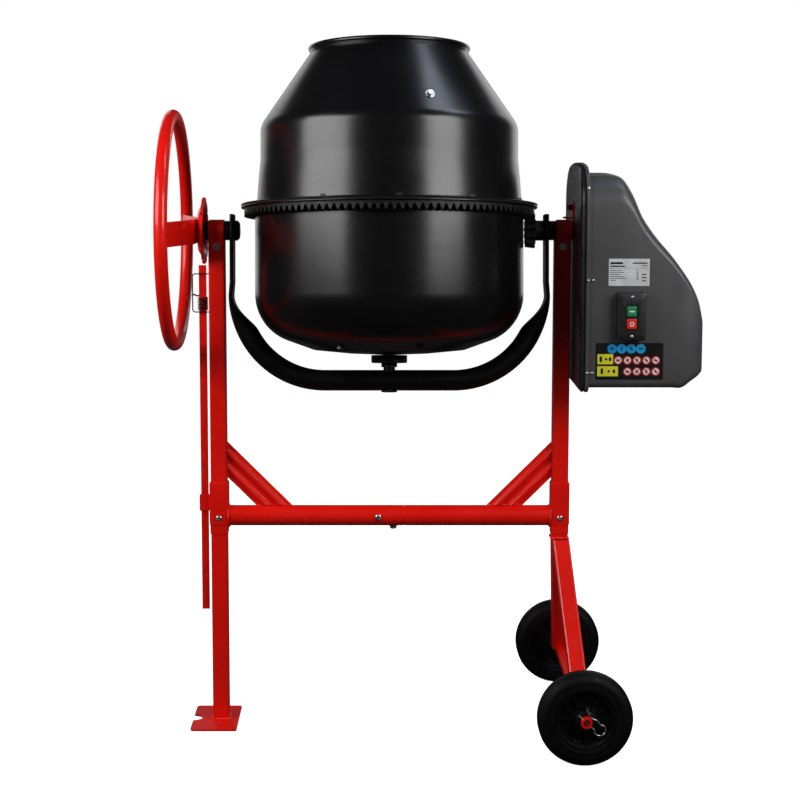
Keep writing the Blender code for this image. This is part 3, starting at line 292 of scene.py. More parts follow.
def spring_steel():
    """Dark drawn wire with lengthwise die lines."""
    wire = Recipe("spring_steel", 0.40, 0.85)
    wire.colour(wire.mottle(300, 3, (0.007, 0.006, 0.006), (0.024, 0.022, 0.021)))
    wire.rough(wire.noise(500, 2), 0.30, 0.50)
    wire.bump(wire.noise(2200, 2), 0.00003, 0.6)
    return wire.material


def charcoal_plastic():
    """Grey-black moulded cover with a fine spark-eroded grain and faint flow marks."""
    plastic = Recipe("charcoal_plastic", 0.40)
    tone = plastic.mottle(6, 3, (0.052, 0.052, 0.054), (0.068, 0.068, 0.070), 0.30, 0.70)
    tone = plastic.specks(1300, 0.55, 0.72, 0.4, tone, (0.080, 0.080, 0.083))
    plastic.colour(plastic.mix(plastic.worn(0.56, 0.68), tone, (0.100, 0.100, 0.103)))
    plastic.rough(plastic.noise(30, 3), 0.35, 0.45)
    plastic.bump(plastic.noise(1500, 2), 0.00006, 0.35)
    return plastic.material


def plain_plastic(name, dark, light, roughness, grain, specular):
    """A small moulding: two close tones, a fine grain and a slightly uneven gloss."""
    made = Recipe(name, roughness, 0.0, specular)
    made.colour(made.mottle(45, 3, dark, light))
    made.rough(made.noise(80, 3), roughness - 0.06, roughness + 0.08)
    made.bump(made.noise(grain, 2), 0.00006, 0.5)
    return made.material


def tyre_rubber():
    """Solid black rubber: matt, finely pored, with a dusty bloom on the tread."""
    tyre = Recipe("tyre_rubber", 0.62, 0.0, 0.16)
    tone = tyre.mottle(22, 4, (0.0016, 0.0016, 0.0017), (0.0036, 0.0036, 0.0037))
    tyre.colour(tyre.specks(700, 0.58, 0.74, 0.4, tone, (0.008, 0.008, 0.0078)))
    tyre.rough(tyre.noise(60, 3), 0.46, 0.66)
    tyre.bump(tyre.noise(800, 3), 0.00015, 0.5)
    return tyre.material


def motor_paint():
    """Grey hammered paint on the motor, with a little graphite in it."""
    grey = Recipe("motor_paint", 0.42, 0.35)
    grey.colour(grey.mottle(140, 3, (0.055, 0.060, 0.066), (0.10, 0.107, 0.115)))
    grey.rough(grey.noise(120, 2), 0.32, 0.50)
    grey.bump(grey.noise(180, 2), 0.0002, 0.6)
    return grey.material


def printed(name, ink, fade):
    """Ink on a film label: nearly even, with a fine screen grain."""
    return plain_plastic(name, ink, fade, 0.42, 1800, 0.25)


# Name: dark tone, light tone, roughness, grain, specular level
MOULDED = {
    # The back plate's finish is far darker than the cover's charcoal: painted shade, standing in for the shadow
    # the drum casts on the back plate.
    "back_plastic_painted_shade": ((0.010, 0.010, 0.011), (0.018, 0.018, 0.019), 0.30, 1300, 0.4),
    "switch_plastic": ((0.008, 0.008, 0.009), (0.013, 0.013, 0.014), 0.40, 1100, 0.5),
    "rim_plastic": ((0.0018, 0.0018, 0.0019), (0.0040, 0.0040, 0.0042), 0.46, 1100, 0.22),
    "belt_rubber": ((0.008, 0.008, 0.008), (0.017, 0.016, 0.016), 0.66, 700, 0.5),
    "seal_rubber": ((0.010, 0.010, 0.010), (0.020, 0.020, 0.019), 0.72, 600, 0.5),
    "start_green": ((0.008, 0.180, 0.060), (0.014, 0.235, 0.085), 0.34, 1100, 0.5),
    "stop_red": ((0.56, 0.020, 0.014), (0.68, 0.030, 0.020), 0.34, 1100, 0.5),
}

# Name: ink and its faded tone
PRINTED = {
    "label_silver": ((0.50, 0.51, 0.53), (0.60, 0.61, 0.63)),
    "label_black": ((0.003, 0.003, 0.0035), (0.006, 0.006, 0.0065)),
    "label_white": ((0.66, 0.66, 0.65), (0.76, 0.76, 0.75)),
    "label_blue": ((0.010, 0.26, 0.60), (0.016, 0.33, 0.68)),
    "label_yellow": ((0.60, 0.58, 0.020), (0.70, 0.66, 0.035)),
    "label_red": ((0.50, 0.020, 0.022), (0.60, 0.030, 0.030)),
}

FINISHES = {
    "red_paint": red_enamel(),
    "drum_enamel": drum_enamel(),
    "satin_black_paint": satin_black(),
    "cast_iron": cast_iron(),
    "machined_steel": machined_steel(),
    "zinc_plate": zinc_plate(),
    "spring_steel": spring_steel(),
    "charcoal_plastic": charcoal_plastic(),
    "tyre_rubber": tyre_rubber(),
    "motor_paint": motor_paint(),
}
FINISHES.update({name: plain_plastic(name, *values) for name, values in MOULDED.items()})
FINISHES.update({name: printed(name, *tones) for name, tones in PRINTED.items()})


# Mesh helpers


def fillet(points, steps=5):
    """A line whose corners are rounded where a point carries a third number, the corner's radius."""
    smooth = []
    for i, point in enumerate(points):
        if len(point) < 3 or i in (0, len(points) - 1):
            smooth.append(point[:2])
            continue
        here, before, after = (Vector(p[:2]) for p in (point, points[i - 1], points[i + 1]))
        back, ahead = (before - here), (after - here)
        turn = back.angle(ahead)
        if turn > math.pi - 0.01:
            smooth.append(point[:2])
            continue
        reach = min(point[2] / math.tan(turn / 2), 0.49 * back.length, 0.49 * ahead.length)
        start, end = here + back.normalized() * reach, here + ahead.normalized() * reach
        for k in range(steps + 1):
            t = k / steps
            smooth.append(tuple((1 - t) ** 2 * start + 2 * t * (1 - t) * here + t * t * end))
    return smooth


def arc(centre, radius, start, end, steps):
    """Points on an arc, angles in degrees."""
    angles = [math.radians(start + (end - start) * i / steps) for i in range(steps + 1)]
    return [(centre[0] + radius * math.cos(a), centre[1] + radius * math.sin(a)) for a in angles]


def circle(radius, steps):
    """Points of a circle about the origin."""
    return arc((0, 0), radius, 0, 360 - 360 / steps, steps - 1)


def side_name(side):
    return "front" if side < 0 else "back"


def facing(point, direction, spin=0.0):
    """The placement that puts a part's origin at a point, with its +Z along a direction."""
    turn = Vector(direction).to_track_quat("Z", "Y").to_matrix().to_4x4()
    return Matrix.Translation(point) @ turn @ Matrix.Rotation(spin, 4, "Z")


def merge(cage, other, matrix=UPRIGHT):
    """Adds a copy of one cage to another."""
    mesh = bpy.data.meshes.new("merged")
    other.to_mesh(mesh)
    mesh.transform(matrix)
    cage.from_mesh(mesh)
    bpy.data.meshes.remove(mesh)


def lathe(profile, steps):
    """Turns (radius, height) points about Z. A profile that never meets the axis is a closed loop."""
    cage = bmesh.new()
    rings = []
    for radius, height in profile:
        if radius < 1e-6:
            rings.append([cage.verts.new((0, 0, height))])
            continue
        angles = [math.tau * i / steps for i in range(steps)]
        rings.append([cage.verts.new((radius * math.cos(a), radius * math.sin(a), height)) for a in angles])
    pairs = list(zip(rings, rings[1:]))
    if min(radius for radius, _ in profile) > 1e-6:
        pairs.append((rings[-1], rings[0]))
    for first, second in pairs:
        for i in range(steps):
            j = (i + 1) % steps
            corners = [row[k % len(row)] for row, k in ((first, i), (first, j), (second, j), (second, i))]
            corners = list(dict.fromkeys(corners))
            if len(corners) > 2:
                cage.faces.new(corners)
    bmesh.ops.recalc_face_normals(cage, faces=cage.faces)
    return cage


def loft(rings, capped=True):
    """Joins rings of equal count into a skin."""
    cage = bmesh.new()
    rows = [[cage.verts.new(point) for point in ring] for ring in rings]
    count = len(rows[0])
    for first, second in zip(rows, rows[1:]):
        for i in range(count):
            j = (i + 1) % count
            cage.faces.new((first[i], first[j], second[j], second[i]))
    if capped:
        cage.faces.new(list(reversed(rows[0])))
        cage.faces.new(rows[-1])
    bmesh.ops.recalc_face_normals(cage, faces=cage.faces)
    return cage


def sweep(points, radius, sides, closed=False):
    """A round bar through points. Radius is a number or a function of the distance along the bar."""
    points = [Vector(point) for point in points]
    count = len(points)
    normal = None
    length = 0.0
    rings = []
    for i, point in enumerate(points):
        before = points[i - 1] if i or closed else point
        after = points[(i + 1) % count] if i < count - 1 or closed else point
        along = (after - before).normalized()
        if normal is None:
            normal = along.orthogonal().normalized()
        normal = (normal - along * normal.dot(along)).normalized()
        side = along.cross(normal)
        thick = radius(length) if callable(radius) else radius
        angles = [math.tau * k / sides for k in range(sides)]
        rings.append([point + thick * (math.cos(a) * normal + math.sin(a) * side) for a in angles])
        length += (after - point).length
    if not closed:
        return loft(rings)
    return loft(rings + [rings[0]], capped=False)


def catmull(a, b, c, d, t):
    """A Catmull-Rom value between b and c, for numbers or vectors."""
    return 0.5 * (2 * b + (c - a) * t + (2 * a - 5 * b + 4 * c - d) * t**2 + (3 * b - a - 3 * c + d) * t**3)


def smooth_path(points, steps):
    """A Catmull-Rom curve through points."""
    points = [Vector(point) for point in points]
    ends = [2 * points[0] - points[1]] + points + [2 * points[-1] - points[-2]]
    path = []
    for a, b, c, d in zip(ends, ends[1:], ends[2:], ends[3:]):
        path += [catmull(a, b, c, d, k / steps) for k in range(steps)]
    return path + [points[-1]]


def slab(outline, low, high):
    """A closed outline given thickness along Z."""
    cage = bmesh.new()
    base = [cage.verts.new((u, v, low)) for u, v in outline]
    top = [cage.verts.new((u, v, high)) for u, v in outline]
    cage.faces.new(list(reversed(base)))
    cage.faces.new(top)
    for i in range(len(outline)):
        j = (i + 1) % len(outline)
        cage.faces.new((base[i], base[j], top[j], top[i]))
    bmesh.ops.recalc_face_normals(cage, faces=cage.faces)
    return cage


def rounded_box(size, radius, steps=5):
    """A rectangle outline with round corners, centred on the origin."""
    half_u, half_v = size[0] / 2 - radius, size[1] / 2 - radius
    points = []
    for quarter, (su, sv) in enumerate(((1, 1), (-1, 1), (-1, -1), (1, -1))):
        points += arc((su * half_u, sv * half_v), radius, 90 * quarter, 90 * quarter + 90, steps)
    return points


def piece(name, cage, finish, body, matrix=UPRIGHT, replaces=(), bevel=0.0, smooth=35):
    """Makes a shown piece from a cage, with its finish, its body and the CAD nodes it stands for."""
    mesh = bpy.data.meshes.new(name)
    cage.to_mesh(mesh)
    cage.free()
    mesh.transform(matrix)
    item = bpy.data.objects.new(name, mesh)
    bpy.context.scene.collection.objects.link(item)
    mesh.materials.append(FINISHES[finish])
    mesh.shade_smooth()
    mesh.set_sharp_from_angle(angle=math.radians(smooth))
    if bevel:
        edges = item.modifiers.new("edges", "BEVEL")
        edges.width = bevel
        edges.segments = 3
        edges.limit_method = "ANGLE"
        edges.angle_limit = math.radians(max(smooth, 30))
        edges.harden_normals = True
    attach(item, body)
    if replaces:
        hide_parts(*replaces)
        REPLACED.update(replaces)
    return item


def refined(node, finish, bevel, smooth=35):
    """Stands for a CAD node with the same shape, welded, merged flat and given rounded edges."""
    cage = bmesh.new()
    cage.from_mesh(NODES[node].data)
    bmesh.ops.remove_doubles(cage, verts=cage.verts, dist=1e-5)
    bmesh.ops.dissolve_limit(cage, angle_limit=math.radians(1), verts=cage.verts, edges=cage.edges)
    return piece(node + "_fine", cage, finish, BODY_OF[node], UPRIGHT, (node,), bevel, smooth)


# Fasteners and welds


def hex_bolt(across, height, washer):
    """A hexagon head with a chamfered crown, a dimple in its top and a washer under it, on Z = 0."""
    cage = lathe([(washer, 0), (washer, 0.0011), (washer - 0.0004, 0.0015), (0, 0.0015)], 32)
    radius = across / math.sqrt(3)
    low, high = 0.0015, 0.0015 + height
    rows = []
    for scale, z in ((1, low), (1, high - 0.0009), (0.90, high), (0.62, high), (0.50, high - 0.0007)):
        ring = []
        for i in range(36):
            a = math.tau * i / 36
            flat = math.cos(math.pi / 6) / math.cos((a % (math.pi / 3)) - math.pi / 6)
            blend = 1.0 if scale == 1 else max(0.0, (scale - 0.75) / 0.25)
            reach = radius * scale * (flat * blend + 0.93 * (1 - blend))
            ring.append((reach * math.cos(a), reach * math.sin(a), z))
        rows.append(ring)
    merge(cage, loft(rows))
    return cage


def pan_screw(radius, height, cross):
    """A domed head with a cross recess, on Z = 0."""
    cage = bmesh.new()
    rings, sides = 14, 48
    rows = []
    for k in range(1, rings + 1):
        reach = radius * k / rings
        dome = height * math.sqrt(max(0.0, 1 - (k / rings) ** 2.4))
        row = []
        for i in range(sides):
            a = math.tau * i / sides
            x, y = reach * math.cos(a), reach * math.sin(a)
            inside = min(abs(x), abs(y)) < cross and reach < radius * 0.62
            row.append((x, y, max(0.0, dome - (height * 0.5 if inside else 0.0))))
        rows.append([cage.verts.new(point) for point in row])
    middle = cage.verts.new((0, 0, height * 0.5))
    for i in range(sides):
        cage.faces.new((middle, rows[0][i], rows[0][(i + 1) % sides]))
    for first, second in zip(rows, rows[1:]):
        for i in range(sides):
            j = (i + 1) % sides
            cage.faces.new((first[i], second[i], second[j], first[j]))
    base = [cage.verts.new((v.co.x, v.co.y, -0.0004)) for v in rows[-1]]
    for i in range(sides):
        j = (i + 1) % sides
        cage.faces.new((rows[-1][i], base[i], base[j], rows[-1][j]))
    cage.faces.new(list(reversed(base)))
    bmesh.ops.recalc_face_normals(cage, faces=cage.faces)
    return cage


def fasteners(name, made, places, finish, body, matrix=UPRIGHT):
    """One piece that holds a copy of a fastener at each place, given as (point, outward direction)."""
    cage = bmesh.new()
    for i, (point, outward) in enumerate(places):
        merge(cage, made, matrix @ facing(point, outward, 0.4 + 1.7 * i))
    made.free()
    return piece(name, cage, finish, body, smooth=30)


def weld(name, points, body, size, closed=False, matrix=UPRIGHT):
    """A rippled fillet weld along a line."""
    path = []
    line = [Vector(point) for point in points] + ([Vector(points[0])] if closed else [])
    for a, b in zip(line, line[1:]):
        steps = max(1, round((b - a).length / 0.0011))
        path += [a.lerp(b, k / steps) for k in range(steps)]
    if not closed:
        path.append(line[-1])
    ripple = math.tau / 0.0042

    def thickness(along):
        return size * (1 + 0.16 * math.sin(along * ripple) + 0.08 * math.sin(along * 190))

    bead = sweep(path, thickness, 10, closed)
    return piece(name, bead, "red_paint", body, matrix, smooth=180)


def ring_points(centre, radius, axis):
    """Points of a circle about an axis through a centre."""
    turn = facing(centre, axis)
    return [turn @ Vector((u, v, 0)) for u, v in circle(radius, 48)]


# Stand


def stand_tubes():
    """Square tubes, sleeves, legs and pressed parts keep the CAD shape, with rounded edges."""
    for node in ("left_post", "right_post", "foot_leg", "wheel_stub", "front_wheel_leg", "back_wheel_leg"):
        refined(node, "red_paint", 0.0004, 28)
    for node in ("left_socket", "right_socket"):
        refined(node, "red_paint", 0.0009, 28)
    for node in ("left_brace", "right_brace"):
        refined(node, "red_paint", 0.0010, 20)
    refined("foot_plate", "red_paint", 0.0009)
    refined("housing_bracket", "red_paint", 0.0008)
    refined("pedal_guide", "red_paint", 0.0006)


def round_tubes():
    """The beam's two halves and the tilt bearings."""
    for node in ("left_beam", "right_beam"):
        low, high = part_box(node)
        length, edge, bore = high.x - low.x, BEAM_RADIUS - 0.0006, BEAM_RADIUS - 0.0025
        profile = [(BEAM_RADIUS, 0.0008), (BEAM_RADIUS, length - 0.0008), (edge, length), (bore, length)]
        profile += [(bore, 0), (edge, 0)]
        at = facing((low.x, 0, BEAM_Z), (1, 0, 0))
        piece(node + "_tube", lathe(profile, 96), "red_paint", "frame", at, (node,))
    for node in ("left_bearing_tube", "right_bearing_tube"):
        low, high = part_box(node)
        length, outer, bore = high.x - low.x, (high.z - low.z) / 2, 0.0186
        profile = [(outer, 0.001), (outer, length - 0.001), (outer - 0.001, length)]
        profile += [(bore, length), (bore, 0), (outer - 0.001, 0)]
        at = facing((low.x, 0, PIVOT.z), (1, 0, 0))
        piece(node + "_ring", lathe(profile, 80), "red_paint", "frame", at, (node,))


def square_path(x, z, half):
    """A square path round an upright tube."""
    return [(x + half * su, half * sv, z) for su, sv in ((1, 1), (-1, 1), (-1, -1), (1, -1))]


def stand_welds():
    """Fillet welds where the stand's pieces meet."""
    half = TUBE / 2
    weld("foot_weld", square_path(LEFT_X, FOOT_WELD_Z, half + 0.0008), "frame", 0.0030, True)
    for label, x, face in (("left", LEFT_X, 1), ("right", RIGHT_X, -1)):
        edge = (x + face * (SLEEVE / 2 + 0.0004), 0, BEAM_Z)
        weld(label + "_beam_weld", ring_points(edge, BEAM_RADIUS + 0.0006, (1, 0, 0)), "frame", 0.0026, True)
        foot_x = x + face * half
        for side, y in BRACE_SHEET_Y.items():
            upright = [(foot_x + face * 0.0006, y, z) for z in BRACE_WELD_Z]
            weld(f"{label}_brace_weld_{side}", upright, "frame", 0.0019)
            level = [(foot_x + face * reach, y, 0.4806) for reach in BRACE_WELD_REACH]
            weld(f"{label}_brace_foot_weld_{side}", level, "frame", 0.0019)
    for label, x in (("left", LEFT_X), ("right", RIGHT_X)):
        for side in (-1, 1):
            line = [(x + u * (half - 0.003), side * (half + 0.0004), POST_TOP_WELD_Z) for u in (-1, 1)]
            weld(f"{label}_bearing_weld_{side_name(side)}", line, "frame", 0.0022)
    weld("stub_weld", square_path(RIGHT_X, STUB_WELD_Z, half + 0.0005), "frame", 0.0024, True)
    axle = sum(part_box("axle"), Vector()) / 2
    for side in (-1, 1):
        points = [(u, side * 0.2225, v) for u, v in arc((axle.x, axle.z), 0.0128, 10, 170, 16)]
        weld(f"axle_weld_{side_name(side)}", points, "frame", 0.0020)


def stand_bolts():
    """Zinc bolts through the sleeves, the beam and the tops of both posts."""
    spots = [((x, -SLEEVE / 2 - 0.0002, SLEEVE_BOLT_Z), (0, -1, 0)) for x in (LEFT_X, RIGHT_X)]
    spots += [((-0.0235, -BEAM_RADIUS + 0.0004, BEAM_Z), (0, -1, 0))]
    fasteners("frame_bolts", pan_screw(0.0072, 0.0040, 0.0011), spots, "zinc_plate", "frame")
    spots = [((x, -y, z), (0, 1, 0)) for (x, y, z), _ in spots]
    spots += [((0.009, 0, BEAM_Z - BEAM_RADIUS + 0.0004), (0, 0, -1))]
    fasteners("frame_nuts", hex_bolt(0.013, 0.0055, 0.0088), spots, "zinc_plate", "frame")
    tops = [((x, -TUBE / 2 - 0.0002, GREASE_BOLT_Z), (0, -1, 0)) for x in (LEFT_X, RIGHT_X)]
    fasteners("bearing_grease_bolts", hex_bolt(0.010, 0.0045, 0.0082), tops, "zinc_plate", "frame")
    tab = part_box("housing_bracket")[1]
    spots = [((tab.x - 0.0033, y, BRACKET_BOLT_Z), (-1, 0, 0)) for y in (-0.013, 0.013)]
    fasteners("bracket_bolts", hex_bolt(0.010, 0.0060, 0.0070), spots, "satin_black_paint", "frame")


# Wheels


def wheel(label, side):
    """A solid tyre on a moulded rim with thin ribs, held by a spring clip through the axle."""
    tyre_low, tyre_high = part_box(label + "_tyre")
    centre = (tyre_low + tyre_high) / 2
    radius, half = (tyre_high.z - tyre_low.z) / 2, (tyre_high.y - tyre_low.y) / 2
    bead = 0.062
    turn = facing(centre, (0, side, 0))
    wall = [(bead, 0.0175), (bead + 0.0015, half - 0.0006, 0.001), (bead + 0.005, half, 0.002)]
    wall += [(0.0735, half - 0.0005), (0.0742, half - 0.0016), (0.0752, half - 0.0016)]
    wall += [(0.0760, half - 0.0004), (0.0840, half - 0.0012, 0.01), (0.0915, half - 0.0065, 0.01)]
    wall += [(radius - 0.0008, half - 0.0145, 0.01)]
    floor_radius = radius - 0.0012
    tread = []
    for y in (0.0075, 0.0):
        tread += [(radius, y + 0.0014), (floor_radius, y + 0.0008)]
        tread += [(floor_radius, y - 0.0008), (radius, y - 0.0014)]
    upper = fillet(wall + [(radius, 0.0095)]) + tread[:6]
    tyre = lathe(upper + [(r, -z) for r, z in reversed(upper)], 144)
    piece(label + "_tyre_solid", tyre, "tyre_rubber", label + "_wheel", turn, (label + "_tyre",))

    rim_half = 0.0180
    bore = 0.0122
    face = [(bore, 0.0250), (0.0190, 0.0250, 0.001), (0.0212, 0.0235, 0.001), (0.0228, 0.0075, 0.002)]
    face += [(0.0300, 0.0058, 0.002), (0.0500, 0.0064, 0.003), (0.0545, rim_half - 0.0030, 0.002)]
    face += [(0.0565, rim_half, 0.001), (0.0618, rim_half + 0.0004)]
    face = fillet(face)
    profile = face + [(r, -z) for r, z in reversed(face)]
    cage = lathe(profile, 120)
    for back in (1, -1):
        for i in range(WHEEL_RIBS):
            rib = bmesh.new()
            bmesh.ops.create_cube(rib, size=1)
            bmesh.ops.scale(rib, vec=(0.0325, 0.0016, 0.0075), verts=rib.verts)
            bmesh.ops.translate(rib, vec=(0.0372, 0, back * 0.0088), verts=rib.verts)
            for corner in rib.verts:
                if corner.co.x > 0.04 and back * corner.co.z > 0.0088:
                    corner.co.z += back * 0.0010
                elif back * corner.co.z > 0.0088:
                    corner.co.z += back * 0.0040
            merge(cage, rib, Matrix.Rotation(math.tau * i / WHEEL_RIBS, 4, "Z"))
            rib.free()
    piece(label + "_rim_ribbed", cage, "rim_plastic", label + "_wheel", turn, (label + "_rim",), smooth=30)


def axle_and_clips():
    """The axle tube and its two spring clips."""
    low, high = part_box("axle")
    centre = (low + high) / 2
    outer, bore, half = (high.z - low.z) / 2, 0.0070, (high.y - low.y) / 2
    profile = [(outer, -half + 0.0008), (outer, half - 0.0008), (outer - 0.0008, half), (bore, half)]
    profile += [(bore, -half), (outer - 0.0008, -half)]
    piece("axle_tube", lathe(profile, 64), "red_paint", "frame", facing(centre, (0, 1, 0)), ("axle",))
    lean = math.radians(-42)
    prong = [(-0.022, 0), (-0.008, 0), (0.008, 0), (0.0155, -0.0004)]
    loop = arc((0.0310, 0.0065), 0.0115, 218, 484, 16)
    wave = [(0.0125, 0.0172), (0.0060, 0.0146), (0.0, 0.0138), (-0.0060, 0.0148)]
    wave += [(-0.012, 0.0182), (-0.020, 0.0215)]
    for label in ("front", "back"):
        clip_low, clip_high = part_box(label + "_axle_clip")
        y = (clip_low.y + clip_high.y) / 2
        points = []
        for u, v in prong + loop + wave:
            x = centre.x + u * math.cos(lean) - v * math.sin(lean)
            z = centre.z + u * math.sin(lean) + v * math.cos(lean)
            points.append((x, y, z))
        bar = sweep(smooth_path(points, 5), 0.00145, 12)
        piece(label + "_clip_wire", bar, "zinc_plate", "frame", UPRIGHT, (label + "_axle_clip",), smooth=50)


# Yoke, trunnions and handwheel


def yoke_rings():
    """Sections of the yoke pipe from the left arm's flattened top, round the bends, to the right."""
    pipe, thin, wide = YOKE_PIPE, 0.005, 0.0285
    bottom, bend, bend_x, arm_x = YOKE_BOTTOM, 0.182, 0.138, 0.335
    heights = (0.034, 0.0335, 0.02, 0.0, -0.03, -0.06, -0.085, -0.11)
    stations = [((-arm_x, z), (-1.0, 0.0), 1.0) for z in heights]
    for i in range(49):
        angle = math.radians(180 + 90 * i / 48)
        normal = (math.cos(angle), math.sin(angle))
        ease = min(1.0, i / 15)
        flatness = 1 - ease * ease * (3 - 2 * ease)
        radius = bend + flatness * (pipe - thin)
        centre = (-bend_x + radius * normal[0], bottom + bend + radius * normal[1])
        stations.append((centre, normal, flatness))
    stations += [((-bend_x * (1 - k / 6), bottom), (0.0, -1.0), 0.0) for k in range(1, 6)]
    ends = (0, 2 * len(stations))
    mirrored = [((-c[0], c[1]), (-n[0], n[1]), f) for c, n, f in reversed(stations)]
    stations += [((0, bottom), (0, -1.0), 0.0)] + mirrored
    rings = []
    for index, (centre, normal, flatness) in enumerate(stations):
        last = index in ends
        shrink = 0.86 if last else 1.0
        thick = (pipe + flatness * (thin - pipe)) * shrink
        half = (pipe + flatness * (wide - pipe)) * (0.985 if last else 1.0)
        power = 2 + 2.5 * flatness
        ring = []
        for k in range(40):
            angle = math.tau * (k + 0.5) / 40
            c, s = math.cos(angle), math.sin(angle)
            u = math.copysign(abs(c) ** (2 / power), c) * thick
            v = math.copysign(abs(s) ** (2 / power), s) * half
            out = 1 if centre[0] > 0 else -1
            ring.append((centre[0] + out * u * abs(normal[0]), v, centre[1] + u * normal[1]))
        rings.append(ring)
    return rings


def yoke_pieces():
    """The bent pipe with flattened arms, the trunnions through them and the nuts."""
    piece("yoke_pipe", loft(yoke_rings()), "satin_black_paint", "yoke", TILTED, ("yoke",), smooth=60)
    inner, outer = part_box("left_bearing_tube")[1].x + 0.0003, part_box("left_bearing_tube")[0].x - 0.0006
    left = [
        (0, -0.3197), (0.0090, -0.3197), (0.0100, -0.3208), (0.0100, -0.3403), (0.0200, -0.3403),
        (0.0208, -0.3411), (0.0208, inner), (0.0180, inner), (0.0180, outer), (0.0208, outer),
        (0.0208, -0.3927), (0.0160, -0.3927), (0.0160, -0.4082), (0.0150, -0.4087), (0, -0.4087),
    ]
    turn_x = TILTED @ facing((0, 0, 0), (1, 0, 0))
    piece("left_trunnion_pin", lathe(left, 64), "satin_black_paint", "yoke", turn_x, ("left_trunnion",))
    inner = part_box("right_bearing_tube")[0].x - 0.0003
    right = [
        (0.0180, 0.3945), (0.0175, 0.3950), (0.0096, 0.3950), (0.0096, 0.3403), (0.0200, 0.3403),
        (0.0208, 0.3411), (0.0208, inner), (0.0180, inner),
    ]
    sleeve = lathe(right, 64)
    piece("right_trunnion_sleeve", sleeve, "satin_black_paint", "yoke", turn_x, ("right_trunnion",))
    dome = [(0.0103, 0), (0.0212, 0), (0.0215, 0.0004), (0.0215, 0.0060, 0.004), (0.0165, 0.0106, 0.004)]
    dome += [(0.0108, 0.0110), (0.0103, 0.0105)]
    at = TILTED @ facing((-0.3297, 0, 0), (1, 0, 0))
    piece("trunnion_nut_dome", lathe(fillet(dome), 64), "satin_black_paint", "yoke", at, ("trunnion_nut",))


def locking_disc():
    """A dished disc with square notches round its rim."""
    near, far, dish = -0.3930, -0.3980, -0.4075
    rim, notch_floor, half_width, bore = 0.071, 0.063, 0.00475, 0.0163
    outline = []
    for i in range(DISC_NOTCHES):
        middle = math.tau * i / DISC_NOTCHES
        for radius in (rim, notch_floor):
            outline.append((middle - math.asin(half_width / radius), radius))
        for radius in (notch_floor, rim):
            outline.append((middle + math.asin(half_width / radius), radius))
        start = middle + math.asin(half_width / rim)
        end = middle + math.tau / DISC_NOTCHES - math.asin(half_width / rim)
        outline += [(start + (end - start) * k / 10, rim) for k in range(1, 10)]
    rows = [(1, near), (1, far), (0.058, far), (0.052, far - 0.004), (0.045, dish + 0.001)]
    rows += [(0.036, dish), (bore, dish), (bore, dish + 0.0035), (0.035, dish + 0.0035)]
    rows += [(0.044, dish + 0.0045), (0.050, near - 0.0035), (0.056, near)]
    rings = []
    for radius, x in rows:
        scale = [r if radius == 1 else radius for _, r in outline]
        rings.append([(-r * math.sin(a), r * math.cos(a), x) for (a, _), r in zip(outline, scale)])
    cage = loft(rings + [rings[0]], capped=False)
    bmesh.ops.remove_doubles(cage, verts=cage.verts, dist=1e-6)
    z_to_x = Matrix(((0, 0, 1, 0), (1, 0, 0, 0), (0, 1, 0, 0), (0, 0, 0, 1)))
    turn = TILTED @ Matrix.Rotation(-REST_TILT, 4, "X") @ z_to_x
    piece("locking_disc_notched", cage, "red_paint", "yoke", turn, ("locking_disc",), 0.0004, 30)


def handwheel():
    """The tube rim, its bent cross strip, the welds between them and the hub bolt."""
    low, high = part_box("handwheel_rim")
    tube = (high.x - low.x) / 2
    middle_x = (low.x + high.x) / 2
    radius = WHEEL_RADIUS
    rim = arc((radius, 0), tube, 0, 360 - 360 / 28, 27)
    at = TILTED @ facing((middle_x, 0, 0), (1, 0, 0))
    piece("handwheel_tube", lathe(rim, 192), "red_paint", "yoke", at, ("handwheel_rim",))

    half_sheet, half_height, hub_x = 0.0020, 0.026, -0.411
    reach = radius - tube - 0.0012
    line = fillet([(middle_x, -reach), (middle_x, -0.175, 0.030), (hub_x, -0.050, 0.030), (hub_x, 0)], 10)
    line += [(x, -y) for x, y in reversed(line[:-1])]
    section = rounded_box((2 * half_sheet, 2 * half_height), 0.0018, 4)
    rings = []
    for i, (x, y) in enumerate(line):
        before, after = line[max(0, i - 1)], line[min(len(line) - 1, i + 1)]
        along = Vector((after[0] - before[0], after[1] - before[1])).normalized()
        rings.append([(x + u * along.y, y - u * along.x, v) for u, v in section])
    level = Matrix.Translation(PIVOT)
    piece("handwheel_strip", loft(rings), "red_paint", "yoke", level, ("handwheel_spoke",), smooth=40)
    for side in (-1, 1):
        for face in (-1, 1):
            x = middle_x + face * 0.0032
            heights = (-0.024, -0.012, 0, 0.012, 0.024)
            points = [(x, side * (radius - tube * 0.985 + abs(z) * 0.05), z) for z in heights]
            label = f"handwheel_weld_{side_name(side)}_{'outer' if face < 0 else 'inner'}"
            weld(label, points, "yoke", 0.0022, matrix=level)
    at = TILTED @ facing((hub_x - half_sheet - 0.0002, 0, 0), (-1, 0, 0))
    piece("handwheel_hub_bolt", hex_bolt(0.017, 0.0070, 0.0145), "zinc_plate", "yoke", at)


# Drum


